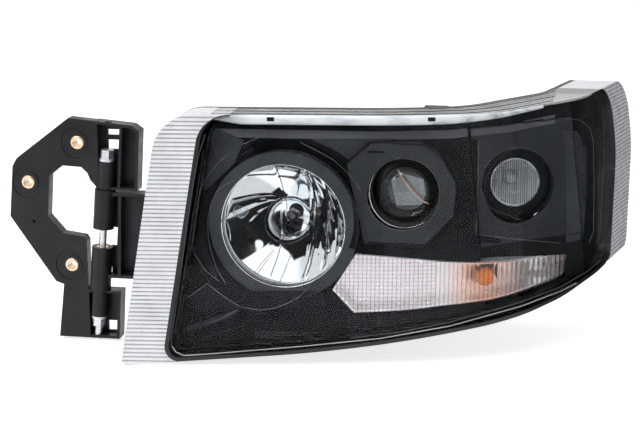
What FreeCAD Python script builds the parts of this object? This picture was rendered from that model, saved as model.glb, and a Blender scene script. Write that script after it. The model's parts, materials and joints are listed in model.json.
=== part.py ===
"""Swing-out headlight assembly: lamp on a leaning hinge bolt, carried by a bracket.

Frame: millimetres, +X towards the outer side of the vehicle, +Y rearwards, +Z up.
The origin lies on the axis of the middle bracket bore, in the bracket's front face.
"""
import FreeCAD, Part
import math
import os
import Sketcher
from FreeCAD import Placement, Rotation, Vector

X_AXIS = Vector(1, 0, 0)
Y_AXIS = Vector(0, 1, 0)
Z_AXIS = Vector(0, 0, 1)

# ---------------------------------------------------------------- driving sizes

DRIVING_SIZES = {
    # running fits and seats
    "running_clearance": 0.05,
    "swing_clearance": 0.3,
    "ball_clearance": 0.5,
    # hinge bracket plate
    "plate_depth": 14.0,
    "plate_wall": 3.0,
    "bush_radius": 7.0,
    "bush_bore_radius": 4.5,
    "boss_radius": 11.0,
    "pad_radius": 17.4,
    "pad_recess": 1.2,
    "upper_bush_x": 55.0,
    "upper_bush_z": 44.0,
    "lower_bush_x": 45.0,
    "lower_bush_z": -87.7,
    "drain_hole_radius": 1.6,
    "drain_hole_x": 5.0,
    "drain_hole_z": -42.0,
    "plate_top": 69.5,
    "plate_bottom": -167.0,
    "plate_inner_edge": -21.0,
    "plate_right_edge": 60.0,
    "box_right_edge": 122.0,
    "foot_right_edge": 97.0,
    "foot_left_edge": 29.0,
    "box_depth": 18.0,
    "box_wall": 3.0,
    "web_thickness": 2.5,
    # hinge pin line, leaning outwards at the top
    "pin_x": 83.0,
    "pin_y": 5.0,
    "pin_lean": 4.45,
    "bolt_radius": 4.0,
    "bolt_head_radius": 7.5,
    "bolt_head_height": 9.0,
    "bolt_tail": 16.0,
    "nut_height": 9.0,
    "flange_radius": 7.8,
    "washer_thickness": 1.5,
    "ear_radius": 8.5,
    "upper_ear_bottom": -5.2,
    "upper_ear_length": 30.0,
    "lower_ear_length": 29.0,
    "knuckle_radius": 11.0,
    "knuckle_length": 109.0,
    "upper_knuckle_length": 42.0,
    "knuckle_gap": 20.0,
    "sleeve_radius": 6.0,
    # lamp-side arm
    "arm_front": -1.0,
    "arm_back": 17.0,
    "arm_wall": 3.5,
    "arm_foot_thickness": 5.0,
    "arm_foot_depth": 50.0,
    "arm_top": -8.0,
    "arm_bottom": -100.0,
    "arm_foot_top": 26.0,
    "arm_foot_bottom": -96.0,
    "screw_radius": 2.5,
    "screw_head_radius": 5.0,
    "screw_head_height": 3.6,
    # front surface of the lamp: plan line of straights and bends, and its lean
    "front_start_x": 40.4,
    "front_start_y": -71.3,
    "front_start_heading": 7.0,
    "front_straight": 322.0,
    "front_bend_radius": 400.0,
    "front_bend_turn": 15.0,
    "corner_bend_radius": 130.0,
    "corner_bend_turn": 33.0,
    "side_straight": 93.0,
    "side_bend_radius": 110.0,
    "side_bend_turn": 20.0,
    "side_end_straight": 200.0,
    "front_lean_x": -0.12,
    "front_lean_y": 0.07,
    # outline of the lamp seen from the front and from the side
    "outline_top": 85.0,
    "outline_left_x": 124.5,
    "outline_left_z": -130.0,
    "outline_left_lean": 8.1,
    "outline_bottom_z": -170.0,
    "outline_bottom_x": 126.0,
    "bottom_corner_x": 558.0,
    "bottom_end_x": 600.0,
    "bottom_end_drop": 0.8,
    "bottom_corner_radius": 80.0,
    "bottom_rise": 4.6,
    "bottom_rise_outer": 9.1,
    "bottom_knee_x": 326.0,
    "bottom_knee_radius": 1500.0,
    "outline_top_radius": 42.0,
    "outline_foot_radius": 5.0,
    "strip_width": 41.5,
    "seam_lean": 8.4,
    "seam_top_radius": 33.0,
    "seam_foot_radius": 15.0,
    "side_seam_y": 230.0,
    "side_seam_knee_z": 12.0,
    "side_edge_slope": 30.0,
    "side_seam_radius": 38.0,
    "side_strip_width": 62.0,
    "side_outer_radius": 40.0,
    "side_bottom_y": 150.0,
    "side_bottom_z": -98.0,
    # lens, seal, strips and housing flange
    "lens_wall": 3.0,
    "lens_depth": 44.0,
    "seal_width": 4.2,
    "seal_drop": 0.6,
    "seal_top_gap": 0.8,
    "seal_depth": 12.0,
    "side_seal_width": 1.6,
    "strip_wall": 3.0,
    "rib_pitch": 4.2,
    "rib_groove": 1.1,
    "rib_groove_depth": 0.7,
    "flange_depth": 6.0,
    "housing_step": 6.0,
    "housing_wall": 2.5,
    "housing_back": 112.0,
    "housing_back_outer": 150.0,
    "housing_step_x": 352.0,
    "housing_low_z": -62.0,
    "housing_low_back": 74.0,
    # black mask behind the lens
    "mask_wall": 2.0,
    "mask_clearance": 1.5,
    "mask_rim_depth": 12.0,
    "mask_inset": 24.0,
    "mask_pocket_x": 466.0,
    "mask_pocket_y": 40.0,
    "mask_pocket_end_x": 566.0,
    "mask_pocket_end_y": 124.0,
    "mask_wing_inset": 15.0,
    "panel_thickness": 2.5,
    "panel_top": 64.0,
    "panel_bottom": -58.0,
    # main lamp
    "main_x": 278.0,
    "main_z": -30.0,
    "main_front": -28.0,
    "main_ring_radius": 76.5,
    "main_opening_radius": 64.0,
    "main_ring_depth": 23.0,
    "main_reflector_front": -8.0,
    "main_reflector_radius": 66.0,
    "main_reflector_focus": 18.5,
    "reflector_wall": 2.0,
    "bulb_glass_radius": 6.0,
    "bulb_hole_radius": 8.0,
    "bulb_base_radius": 13.0,
    "bulb_base_length": 20.0,
    # projector lamp
    "projector_x": 398.0,
    "projector_z": 4.0,
    "projector_front": -11.0,
    "projector_yaw": 8.5,
    "projector_opening_radius": 36.5,
    "projector_ring_width": 1.6,
    "projector_lens_radius": 34.0,
    "projector_lens_height": 19.0,
    "projector_lens_seat": 12.0,
    "projector_holder_radius": 39.0,
    "holder_overlap": 6.5,
    "projector_back": 86.0,
    # cornering lamp
    "cornering_x": 505.5,
    "cornering_y": 84.0,
    "cornering_z": -1.0,
    "cornering_yaw": 14.0,
    "cornering_tube_radius": 38.5,
    "cornering_tube_length": 32.0,
    "cornering_lens_radius": 26.0,
    "cornering_lens_inset": 9.0,
    "cornering_reflector_depth": 32.0,
    "cornering_neck_radius": 8.5,
    "cornering_neck_length": 26.0,
    "holder_flange": 7.0,
    "flute_count": 18.0,
    # indicator
    "indicator_inset": 21.0,
    "indicator_lens_wall": 3.0,
    "indicator_depth": 28.0,
    "indicator_bulb_x": 478.0,
    "indicator_bulb_y": 33.0,
    "indicator_bulb_z": -89.0,
    "indicator_neck_radius": 9.5,
    "indicator_neck_length": 53.0,
    # aiming carrier and its three supports
    "carrier_front": 30.0,
    "carrier_thickness": 4.0,
    "pivot_x": 318.0,
    "pivot_y": 46.0,
    "pivot_z": 50.0,
    "pivot_ball_radius": 7.5,
    "trunnion_radius": 2.0,
    "trunnion_reach": 10.5,
    "pivot_pin_radius": 2.5,
    "pivot_stud_radius": 4.0,
    "rod_z": -93.0,
    "rod_radius": 4.0,
    "rod_ball_radius": 5.5,
    "pan_x": 430.0,
    "pan_screw_radius": 3.0,
    # caps, motor, connector, lugs
    "main_cap_radius": 44.0,
    "projector_cap_radius": 34.0,
    "collar_height": 12.0,
    "cap_wall": 3.0,
    "motor_width": 58.0,
    "motor_height": 42.0,
    "motor_depth": 40.0,
    "connector_x": 462.0,
    "connector_z": -30.0,
    "connector_width": 34.0,
    "connector_height": 18.0,
    "pin_length": 8.0,
    "connector_length": 18.0,
    "lug_bore_radius": 2.6,
    "lug_bush_radius": 3.8,
    "lug_radius": 5.5,
    "lug_width": 24.0,
    "lug_foot_height": 16.0,
    "upper_lug_drop": 7.0,
    "roof_slope": 0.17,
    "roof_start_y": 30.0,
    "roof_turn_x": 423.0,
    "roof_sweep": 0.6,
    "lower_lug_z": -121.0,
    "lug_thickness": 10.0,
    "upper_lug_x": 423.0,
    "lower_lug_x": 500.0,
}

document = FreeCAD.newDocument("headlight")
sheet = document.addObject("Spreadsheet::Sheet", "Sizes")
for row, (alias, number) in enumerate(DRIVING_SIZES.items(), start=1):
    sheet.set(f"A{row}", alias)
    sheet.set(f"B{row}", str(number))
    sheet.setAlias(f"B{row}", alias)
document.recompute()


class Size:
    """A length or angle: its value now, and the sheet expression that gives it."""

    def __init__(self, value, text):
        self.value = value
        self.text = text

    def join(self, other, sign, value):
        return Size(value, f"({self.text} {sign} {text_of(other)})")

    def __add__(self, other):
        return self.join(other, "+", self.value + number_of(other))

    def __sub__(self, other):
        return self.join(other, "-", self.value - number_of(other))

    def __mul__(self, other):
        return self.join(other, "*", self.value * number_of(other))

    def __truediv__(self, other):
        return self.join(other, "/", self.value / number_of(other))

    def __neg__(self):
        return Size(-self.value, f"(0 - {self.text})")

    def __radd__(self, other):
        return Size(other, str(other)) + self

    def __rsub__(self, other):
        return Size(other, str(other)) - self

    def __rmul__(self, other):
        return Size(other, str(other)) * self


class Sheet:
    """Sizes by name: sizes.pin_x is bound to the cell with that alias."""

    def __getattr__(self, alias):
        return Size(float(sheet.get(alias)), f"Sizes.{alias}")


sizes = Sheet()


def number_of(value):
    return value.value if isinstance(value, Size) else float(value)


def text_of(value):
    return value.text if isinstance(value, Size) else repr(float(value))


def sine(angle):
    return Size(math.sin(math.radians(angle.value)), f"sin({angle.text})")


def cosine(angle):
    return Size(math.cos(math.radians(angle.value)), f"cos({angle.text})")


def bind(item, path, value):
    """Tie one property to the sheet."""
    if isinstance(value, Size):
        item.setExpression(path, value.text)


# ------------------------------------------------------------- building blocks

parts = {}


def name_part(item, node):
    """Give a finished sub-part its label, which names its file."""
    item.Label = node
    parts[node] = item
    return item


def place(item, at, axis=Z_AXIS, angle=0):
    item.Placement = Placement(Vector(*map(number_of, at)), Rotation(axis, number_of(angle)))
    for letter, value in zip("xyz", at):
        bind(item, f"Placement.Base.{letter}", value)
    bind(item, "Placement.Rotation.Angle", angle)
    return item


def cylinder(radius, length, at, axis=X_AXIS, angle=0):
    """A round bar that runs along +Z of its own placement."""
    item = document.addObject("Part::Cylinder", "Cylinder")
    item.Radius = number_of(radius)
    item.Height = number_of(length)
    bind(item, "Radius", radius)
    bind(item, "Height", length)
    return place(item, at, axis, angle)


def bar_y(radius, length, x, y, z):
    """A round bar that runs rearwards along +Y."""
    return cylinder(radius, length, (x, y, z), X_AXIS, -90)


def block(width, depth, height, at):
    item = document.addObject("Part::Box", "Block")
    for name, value in (("Length", width), ("Width", depth), ("Height", height)):
        setattr(item, name, number_of(value))
        bind(item, name, value)
    return place(item, at)


def ball(radius, at):
    item = document.addObject("Part::Sphere", "Ball")
    item.Radius = number_of(radius)
    bind(item, "Radius", radius)
    return place(item, at)


def cut(base, tool):
    item = document.addObject("Part::Cut", "Cut")
    item.Base = base
    item.Tool = tool
    return item


def join(*pieces):
    item = document.addObject("Part::MultiFuse", "Join")
    item.Shapes = list(pieces)
    item.Refine = True
    return item


def tube_y(outer, inner, length, x, y, z):
    """A hollow round bar that runs rearwards along +Y."""
    return cut(bar_y(outer, length, x, y, z), bar_y(inner, length, x, y, z))


def pin_point(height, forward=0):
    """A point on the leaning hinge line, at a height measured along it."""
    return (
        sizes.pin_x + height * sine(sizes.pin_lean),
        sizes.pin_y - forward,
        height * cosine(sizes.pin_lean),
    )


def on_pin(radius, start, length):
    """A round bar on the hinge line, from start upwards."""
    return cylinder(radius, length, pin_point(start), Y_AXIS, sizes.pin_lean)


def plane_of(body, role):
    return next(item for item in body.Origin.OriginFeatures if item.Role == role)


def new_sketch(body, role="XZ_Plane"):
    sketch = body.newObject("Sketcher::SketchObject", "Sketch")
    sketch.AttachmentSupport = (plane_of(body, role), [""])
    sketch.MapMode = "FlatFace"
    return sketch


def hold(sketch, kind, value, *where):
    """Add one dimension to a sketch and tie it to the sheet."""
    index = sketch.addConstraint(Sketcher.Constraint(kind, *where, number_of(value)))
    bind(sketch, f"Constraints[{index}]", value)


def draw_polygon(sketch, points):
    first = sketch.GeometryCount
    count = len(points)
    corners = [Vector(number_of(x), number_of(y), 0) for x, y in points]
    for index in range(count):
        sketch.addGeometry(Part.LineSegment(corners[index], corners[(index + 1) % count]))
    for index in range(count):
        following = first + (index + 1) % count
        sketch.addConstraint(Sketcher.Constraint("Coincident", first + index, 2, following, 1))
    for index, (x, y) in enumerate(points):
        hold(sketch, "DistanceX", x, -1, 1, first + index, 1)
        hold(sketch, "DistanceY", y, -1, 1, first + index, 1)


def pad(body, points, depth, role="XZ_Plane"):
    """Raise a polygon from one of the body's own planes, rearwards from the front one."""
    sketch = new_sketch(body, role)
    draw_polygon(sketch, points)
    feature = body.newObject("PartDesign::Pad", "Pad")
    feature.Profile = sketch
    feature.Length = number_of(depth)
    feature.Reversed = role == "XZ_Plane"
    bind(feature, "Length", depth)
    document.recompute()
    return feature


def pocket(body, points, depth, role="XZ_Plane"):
    sketch = new_sketch(body, role)
    draw_polygon(sketch, points)
    feature = body.newObject("PartDesign::Pocket", "Pocket")
    feature.Profile = sketch
    feature.Length = number_of(depth)
    bind(feature, "Length", depth)
    document.recompute()
    return feature


def new_body():
    return document.addObject("PartDesign::Body", "Body")


def plate(points, depth, at_y):
    """A flat piece: an outline seen from the front, given a depth rearwards."""
    body = new_body()
    pad(body, points, depth)
    return place(body, (0, at_y, 0))


def turned(points, x, y, z, yaw=0):
    """A turned piece about an axis that runs rearwards; points are (radius, depth)."""
    body = new_body()
    sketch = new_sketch(body, "XY_Plane")
    draw_polygon(sketch, points)
    feature = body.newObject("PartDesign::Revolution", "Turn")
    feature.Profile = sketch
    feature.ReferenceAxis = (sketch, ["V_Axis"])
    feature.Angle = 360
    document.recompute()
    return place(body, (x, y, z), Z_AXIS, yaw)


def built(node, shape):
    """A sub-part whose shape is worked out here from the sheet's values."""
    item = document.addObject("Part::Feature", "Shape")
    item.Shape = shape
    return name_part(item, node)


# ------------------------------------------------------ hinge bracket and bolt

def make_hinge_bracket():
    """C-shaped plate, hollow behind, with two open boxes that hold the hinge ears."""
    plate_body = new_body()
    left = sizes.plate_inner_edge
    right = sizes.plate_right_edge
    web_z = sizes.upper_ear_bottom
    outline = [
        (sizes.upper_bush_x - 9, sizes.plate_top),
        (sizes.pin_x - 6, sizes.plate_top - 2.6),
        (sizes.pin_x - 6, web_z),
        (sizes.pin_x - 15, 4.6),
        (sizes.pin_x - 18, 12.0),
        (sizes.pin_x - 24.5, 18.1),
        (sizes.upper_bush_x - 17, 19.0),
        (left + 44.5, 7.5),
        (left + 41.5, -36.0),
        (sizes.lower_bush_x - 9, -53.5),
        (right - 1, -56.5),
        (right + 2, -61.0),
        (right + 2, sizes.plate_bottom),
        (sizes.foot_left_edge, sizes.plate_bottom),
        (sizes.foot_left_edge + 6.5, -109.3),
        (sizes.lower_bush_x - 18, -106.4),
        (left, -37.5),
        (left + 4.5, 16.6),
        (left + 9.5, 25.3),
    ]
    solid = pad(plate_body, outline, sizes.plate_depth)
    rear = [
        f"Face{index + 1}"
        for index, face in enumerate(solid.Shape.Faces)
        if abs(face.CenterOfMass.y - sizes.plate_depth.value) < 0.001
    ]
    hollow = plate_body.newObject("PartDesign::Thickness", "Hollow")
    hollow.Base = (solid, rear)
    hollow.Value = sizes.plate_wall.value
    hollow.Reversed = True
    hollow.Join = 1
    bind(hollow, "Value", sizes.plate_wall)
    document.recompute()

    pieces = [plate_body]
    bushes = [
        (0, 0),
        (sizes.upper_bush_x, sizes.upper_bush_z),
        (sizes.lower_bush_x, sizes.lower_bush_z),
    ]
    for x, z in bushes:
        pieces.append(bar_y(sizes.boss_radius, sizes.plate_depth, x, 0, z))
    pieces += bracket_boxes()
    pieces += bracket_ribs()

    holes = []
    for x, z in bushes:
        holes.append(bar_y(sizes.bush_radius, sizes.plate_depth, x, 0, z))
        holes.append(
            cut(
                bar_y(sizes.pad_radius, sizes.pad_recess, x, 0, z),
                bar_y(sizes.boss_radius, sizes.pad_recess, x, 0, z),
            )
        )
    holes.append(
        bar_y(sizes.drain_hole_radius, sizes.plate_depth, sizes.drain_hole_x, 0, sizes.drain_hole_z)
    )
    holes.append(
        on_pin(
            sizes.bolt_radius + sizes.running_clearance,
            sizes.plate_bottom,
            sizes.plate_top - sizes.plate_bottom,
        )
    )
    holes += hinge_rooms()
    bracket = cut(join(*pieces), join(*holes))
    name_part(bracket, "hinge_bracket")

    sleeves = [
        tube_y(sizes.bush_radius, sizes.bush_bore_radius, sizes.plate_depth, x, 0, z)
        for x, z in bushes
    ]
    group = document.addObject("Part::Compound", "Bushes")
    group.Links = sleeves
    name_part(group, "bracket_bushes")


def bracket_boxes():
    """Upper and lower boxes, open to the front, with a window in each back wall."""
    wall = sizes.box_wall
    left = sizes.pin_x - 9
    upper = new_body()
    right = sizes.box_right_edge
    web_z = sizes.upper_ear_bottom
    top = sizes.plate_top - 2.6
    pad(
        upper,
        [(left, top), (right - 8, top - 3.4), (right, top - 9), (right - 3.5, web_z), (left, web_z)],
        sizes.box_depth,
    )
    cell_right = sizes.pin_x + 18
    pocket(
        upper,
        [
            (left + wall, top - wall),
            (cell_right, top - wall - 2.4),
            (cell_right - 4, web_z + sizes.web_thickness),
            (left + wall, web_z + sizes.web_thickness),
        ],
        sizes.box_depth - wall,
    )
    pocket(
        upper,
        [
            (cell_right + wall, top - wall - 2.6),
            (right - 9, top - wall - 3.4),
            (right - wall, top - wall - 8),
            (right - wall - 3.5, web_z + sizes.web_thickness),
            (cell_right + wall - 4, web_z + sizes.web_thickness),
        ],
        sizes.box_depth - wall,
    )
    window_left = sizes.pin_x + 1
    for low, high in ((50.5, 56.5), (35.5, 45.5)):
        pocket(
            upper,
            [(window_left, low), (window_left, high), (cell_right - wall, high),
             (cell_right - wall, low)],
            sizes.box_depth + wall,
        )

    lower = new_body()
    box_left = sizes.plate_right_edge
    box_right = sizes.foot_right_edge
    ear_top = lower_ear_top()
    bottom = sizes.plate_bottom
    pad(
        lower,
        [(box_left, ear_top), (box_right + 1, ear_top), (box_right - 2, bottom), (box_left, bottom)],
        sizes.box_depth,
    )
    pocket(
        lower,
        [
            (box_left + wall, ear_top - sizes.web_thickness),
            (box_right + 1 - wall, ear_top - sizes.web_thickness),
            (box_right - 2 - wall, bottom + wall),
            (box_left + wall, bottom + wall),
        ],
        sizes.box_depth - wall,
    )
    pocket(
        lower,
        [(sizes.pin_x - 4, bottom + 5), (sizes.pin_x - 4, bottom + 16), (sizes.pin_x + 7, bottom + 16),
         (sizes.pin_x + 7, bottom + 5)],
        sizes.box_depth + wall,
    )
    return [upper, lower]


def lower_ear_top():
    """Height along the hinge line of the face that the lower knuckle rests over."""
    return sizes.upper_ear_bottom - sizes.knuckle_length - sizes.swing_clearance


def bracket_ribs():
    """The two ears around the bolt, and the webs that tie them to the back walls."""
    upper = on_pin(sizes.ear_radius, sizes.upper_ear_bottom, sizes.upper_ear_length)
    lower_start = lower_ear_top() - sizes.lower_ear_length
    lower = on_pin(sizes.ear_radius, lower_start, sizes.lower_ear_length)
    rib_depth = sizes.box_depth - sizes.pin_y
    rib = sizes.web_thickness
    upper_rib = block(
        rib,
        rib_depth,
        sizes.upper_ear_length,
        (sizes.pin_x - rib / 2, sizes.pin_y, sizes.upper_ear_bottom),
    )
    lower_rib = block(
        rib,
        rib_depth,
        sizes.lower_ear_length,
        (pin_point(lower_start)[0] - rib / 2, sizes.pin_y, lower_start),
    )
    return [upper, lower, upper_rib, lower_rib]


def hinge_rooms():
    """Space in the bracket for the knuckle's ends, the bolt head and the nut."""
    gap = sizes.swing_clearance
    knuckle_start = sizes.upper_ear_bottom - sizes.knuckle_length - gap
    ear_top = sizes.upper_ear_bottom + sizes.upper_ear_length
    ear_end = lower_ear_top() - sizes.lower_ear_length
    room = sizes.flange_radius + gap * 2
    return [
        on_pin(sizes.knuckle_radius + gap * 2, knuckle_start, sizes.knuckle_length + gap),
        on_pin(room, ear_top, sizes.bolt_head_height + 6),
        on_pin(room, ear_end - sizes.nut_height - 4, sizes.nut_height + 4),
        on_pin(
            sizes.bolt_radius + gap * 2,
            ear_end - sizes.nut_height - sizes.bolt_tail - 8,
            sizes.bolt_tail + 8,
        ),
    ]


def hexagon(radius):
    """Corners of a hexagon of the given corner radius."""
    corners = []
    for turn in range(6):
        angle = math.radians(60 * turn)
        corners.append((radius * round(math.cos(angle), 6), radius * round(math.sin(angle), 6)))
    return corners


def hex_prism(radius, height, start):
    body = new_body()
    pad(body, hexagon(radius), height, "XY_Plane")
    return place(body, pin_point(start), Y_AXIS, sizes.pin_lean)


def make_hinge_bolt():
    washer = sizes.washer_thickness
    ear_top = sizes.upper_ear_bottom + sizes.upper_ear_length
    ear_end = lower_ear_top() - sizes.lower_ear_length
    tail_end = ear_end - washer - sizes.nut_height - sizes.bolt_tail
    shank = on_pin(sizes.bolt_radius, tail_end, ear_top + washer - tail_end)
    flange = on_pin(sizes.flange_radius, ear_top + washer, washer)
    head = hex_prism(sizes.bolt_head_radius, sizes.bolt_head_height, ear_top + washer * 2)
    name_part(join(shank, flange, head), "hinge_bolt")

    bore = sizes.bolt_radius + sizes.running_clearance
    rings = [
        cut(on_pin(sizes.flange_radius + 0.2, start, washer), on_pin(bore, start, washer))
        for start in (ear_top, ear_end - washer)
    ]
    group = document.addObject("Part::Compound", "Washers")
    group.Links = rings
    name_part(group, "hinge_washers")

    nut_start = ear_end - washer - sizes.nut_height
    nut_flange = on_pin(sizes.flange_radius, ear_end - washer * 2, washer)
    nut = join(hex_prism(sizes.bolt_head_radius, sizes.nut_height, nut_start), nut_flange)
    name_part(cut(nut, on_pin(sizes.bolt_radius, nut_start, sizes.nut_height)), "hinge_nut")


# -------------------------------------------------------------- lamp-side arm

def housing_side_x(height):
    """X of the housing's inner side wall at a height: the wall leans with the seam."""
    seam_x = sizes.outline_left_x + sizes.strip_width + sizes.seal_width + sizes.housing_step
    slope = sine(sizes.seam_lean) / cosine(sizes.seam_lean)
    return seam_x + (height - sizes.outline_left_z) * slope


def make_hinge_arm():
    """Knuckle barrels on the bolt and a channel that runs to the housing's side wall."""
    knuckle_top = sizes.upper_ear_bottom - sizes.swing_clearance
    knuckle_bottom = knuckle_top - sizes.knuckle_length
    barrel = on_pin(sizes.knuckle_radius, knuckle_bottom, sizes.knuckle_length)
    wall = sizes.arm_wall
    depth = sizes.arm_back - sizes.arm_front
    start_x = sizes.pin_x + 2
    top = sizes.arm_top
    bottom = sizes.arm_bottom
    back_wall = plate(
        [
            (start_x, top),
            (sizes.pin_x + 44, top),
            (sizes.pin_x + 62, sizes.arm_foot_top),
            (housing_side_x(sizes.arm_foot_top), sizes.arm_foot_top),
            (housing_side_x(bottom), bottom),
            (start_x, bottom),
        ],
        wall,
        sizes.arm_back - wall,
    )
    flanges = []
    for z in (top, bottom + wall):
        flanges.append(
            plate(
                [
                    (start_x, z),
                    (housing_side_x(z), z),
                    (housing_side_x(z - wall), z - wall),
                    (start_x, z - wall),
                ],
                depth,
                sizes.arm_front,
            )
        )
    rib_x = sizes.pin_x + 15
    flanges.append(
        plate(
            [(rib_x, top), (rib_x + wall, top), (rib_x + wall - 3, bottom), (rib_x - 3, bottom)],
            depth,
            sizes.arm_front,
        )
    )
    thickness = sizes.arm_foot_thickness
    foot = plate(
        [
            (housing_side_x(sizes.arm_foot_top) - thickness, sizes.arm_foot_top),
            (housing_side_x(sizes.arm_foot_top), sizes.arm_foot_top),
            (housing_side_x(sizes.arm_foot_bottom), sizes.arm_foot_bottom),
            (housing_side_x(sizes.arm_foot_bottom) - thickness, sizes.arm_foot_bottom),
        ],
        sizes.arm_foot_depth,
        sizes.arm_front + 3,
    )
    window_start = knuckle_top - sizes.upper_knuckle_length - sizes.knuckle_gap
    window = on_pin(sizes.knuckle_radius + 6, window_start, sizes.knuckle_gap)
    bore = on_pin(sizes.sleeve_radius, knuckle_bottom, sizes.knuckle_length)
    arm = cut(cut(join(barrel, back_wall, *flanges, foot), window), bore)
    screws = [arm_screw(z, y) for z in arm_screw_heights() for y in arm_screw_depths()]
    shanks = [arm_screw_shank(z, y) for z in arm_screw_heights() for y in arm_screw_depths()]
    name_part(cut(arm, join(*shanks)), "hinge_arm")
    group = document.addObject("Part::Compound", "ArmScrews")
    group.Links = screws
    name_part(group, "arm_screws")

    sleeve_bore = sizes.bolt_radius + sizes.running_clearance
    upper_start = knuckle_top - sizes.upper_knuckle_length
    lower_length = sizes.knuckle_length - sizes.upper_knuckle_length - sizes.knuckle_gap
    sleeves = [
        cut(on_pin(sizes.sleeve_radius, start, length), on_pin(sleeve_bore, start, length))
        for start, length in (
            (upper_start, sizes.upper_knuckle_length),
            (knuckle_bottom, lower_length),
        )
    ]
    group = document.addObject("Part::Compound", "Sleeves")
    group.Links = sleeves
    name_part(group, "hinge_sleeves")


def arm_screw_heights():
    return (sizes.arm_foot_top - 14, sizes.arm_foot_bottom + 24)


def arm_screw_depths():
    return (sizes.arm_back + 8, sizes.arm_back + 26)


def side_screw(radius, length, z, y, outwards):
    """A bar square to the leaning side wall; outwards is its start in front of the wall."""
    lean = sizes.seam_lean
    return cylinder(
        radius,
        length,
        (
            housing_side_x(z) - outwards * cosine(lean),
            y,
            z + outwards * sine(lean),
        ),
        Y_AXIS,
        90 + lean,
    )


def arm_screw_shank(z, y):
    thickness = sizes.arm_foot_thickness
    return side_screw(sizes.screw_radius, thickness + sizes.housing_wall, z, y, thickness)


def arm_screw(z, y):
    thickness = sizes.arm_foot_thickness
    head = side_screw(
        sizes.screw_head_radius,
        sizes.screw_head_height,
        z,
        y,
        thickness + sizes.screw_head_height,
    )
    return join(head, arm_screw_shank(z, y))


# --------------------------------------------- surfaces that bound the lamp

def line_edge(start, end):
    return Part.LineSegment(start, end).toShape()


def front_face(inset):
    """Plan-view area behind the lamp's front line, moved inwards by inset."""
    heading = math.radians(sizes.front_start_heading.value)
    point = Vector(sizes.front_start_x.value, sizes.front_start_y.value, 0)
    inwards = Vector(-math.sin(heading), math.cos(heading), 0)
    point = point + inwards * inset
    start = point
    edges = []
    course = [
        (sizes.front_straight.value, 0),
        (sizes.front_bend_radius.value, sizes.front_bend_turn.value),
        (sizes.corner_bend_radius.value, sizes.corner_bend_turn.value),
        (sizes.side_straight.value, 0),
        (sizes.side_bend_radius.value, sizes.side_bend_turn.value),
        (sizes.side_end_straight.value, 0),
    ]
    for length, turn in course:
        if turn == 0:
            ahead = Vector(math.cos(heading), math.sin(heading), 0)
            following = point + ahead * length
            edges.append(line_edge(point, following))
        else:
            radius = length - inset
            centre = point + Vector(-math.sin(heading), math.cos(heading), 0) * radius
            half = heading + math.radians(turn) / 2
            heading += math.radians(turn)
            middle = centre + Vector(math.sin(half), -math.cos(half), 0) * radius
            following = centre + Vector(math.sin(heading), -math.cos(heading), 0) * radius
            edges.append(Part.Arc(point, middle, following).toShape())
        point = following
    outer = Vector(point.x, FRONT_AREA_BACK, 0)
    corner = Vector(start.x, FRONT_AREA_BACK, 0)
    edges.append(line_edge(point, outer))
    edges.append(line_edge(outer, corner))
    edges.append(line_edge(corner, start))
    return Part.Face(Part.Wire(edges))


FRONT_AREA_BACK = 420.0
SOLID_BOTTOM = -230.0
SOLID_TOP = 130.0
SOLID_FRONT = -160.0
SOLID_BACK = 360.0
SOLID_RIGHT = 720.0


def lean_prism(face):
    """Sweep a plan-view area along the lean of the front."""
    lean = Vector(sizes.front_lean_x.value, sizes.front_lean_y.value, 1)
    base = face.copy()
    base.translate(lean * SOLID_BOTTOM)
    return base.extrude(lean * (SOLID_TOP - SOLID_BOTTOM))


def behind_front(inset):
    """Everything behind the lamp's front surface, moved inwards by inset."""
    return lean_prism(front_face(inset))


def rounded_face(corners):
    """A flat area from (point, radius) corners; each corner is an arc of its radius."""
    count = len(corners)
    edges = []
    last_end = None
    first_start = None
    for index in range(count):
        before = corners[index - 1][0]
        corner, radius = corners[index]
        after = corners[(index + 1) % count][0]
        arrive = (before - corner).normalize()
        leave = (after - corner).normalize()
        start = end = corner
        if radius > 0:
            half = arrive.getAngle(leave) / 2
            reach = radius / math.tan(half)
            start = corner + arrive * reach
            end = corner + leave * reach
            bisector = (arrive + leave).normalize()
            middle = corner + bisector * (radius / math.sin(half) - radius)
            arc = Part.Arc(start, middle, end).toShape()
        if last_end is None:
            first_start = start
        elif last_end.distanceToPoint(start) > 0.000001:
            edges.append(line_edge(last_end, start))
        if radius > 0:
            edges.append(arc)
        last_end = end
    if last_end.distanceToPoint(first_start) > 0.000001:
        edges.append(line_edge(last_end, first_start))
    return Part.Face(Part.Wire(edges))


def meet(point_a, angle_a, point_b, angle_b):
    """Where two lines in the XZ plane cross; angles in degrees from +X."""
    ax, az = math.cos(math.radians(angle_a)), math.sin(math.radians(angle_a))
    bx, bz = math.cos(math.radians(angle_b)), math.sin(math.radians(angle_b))
    dx, dz = point_b[0] - point_a[0], point_b[1] - point_a[1]
    along = (dx * bz - dz * bx) / (ax * bz - az * bx)
    return Vector(point_a[0] + along * ax, 0, point_a[1] + along * az)


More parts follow.
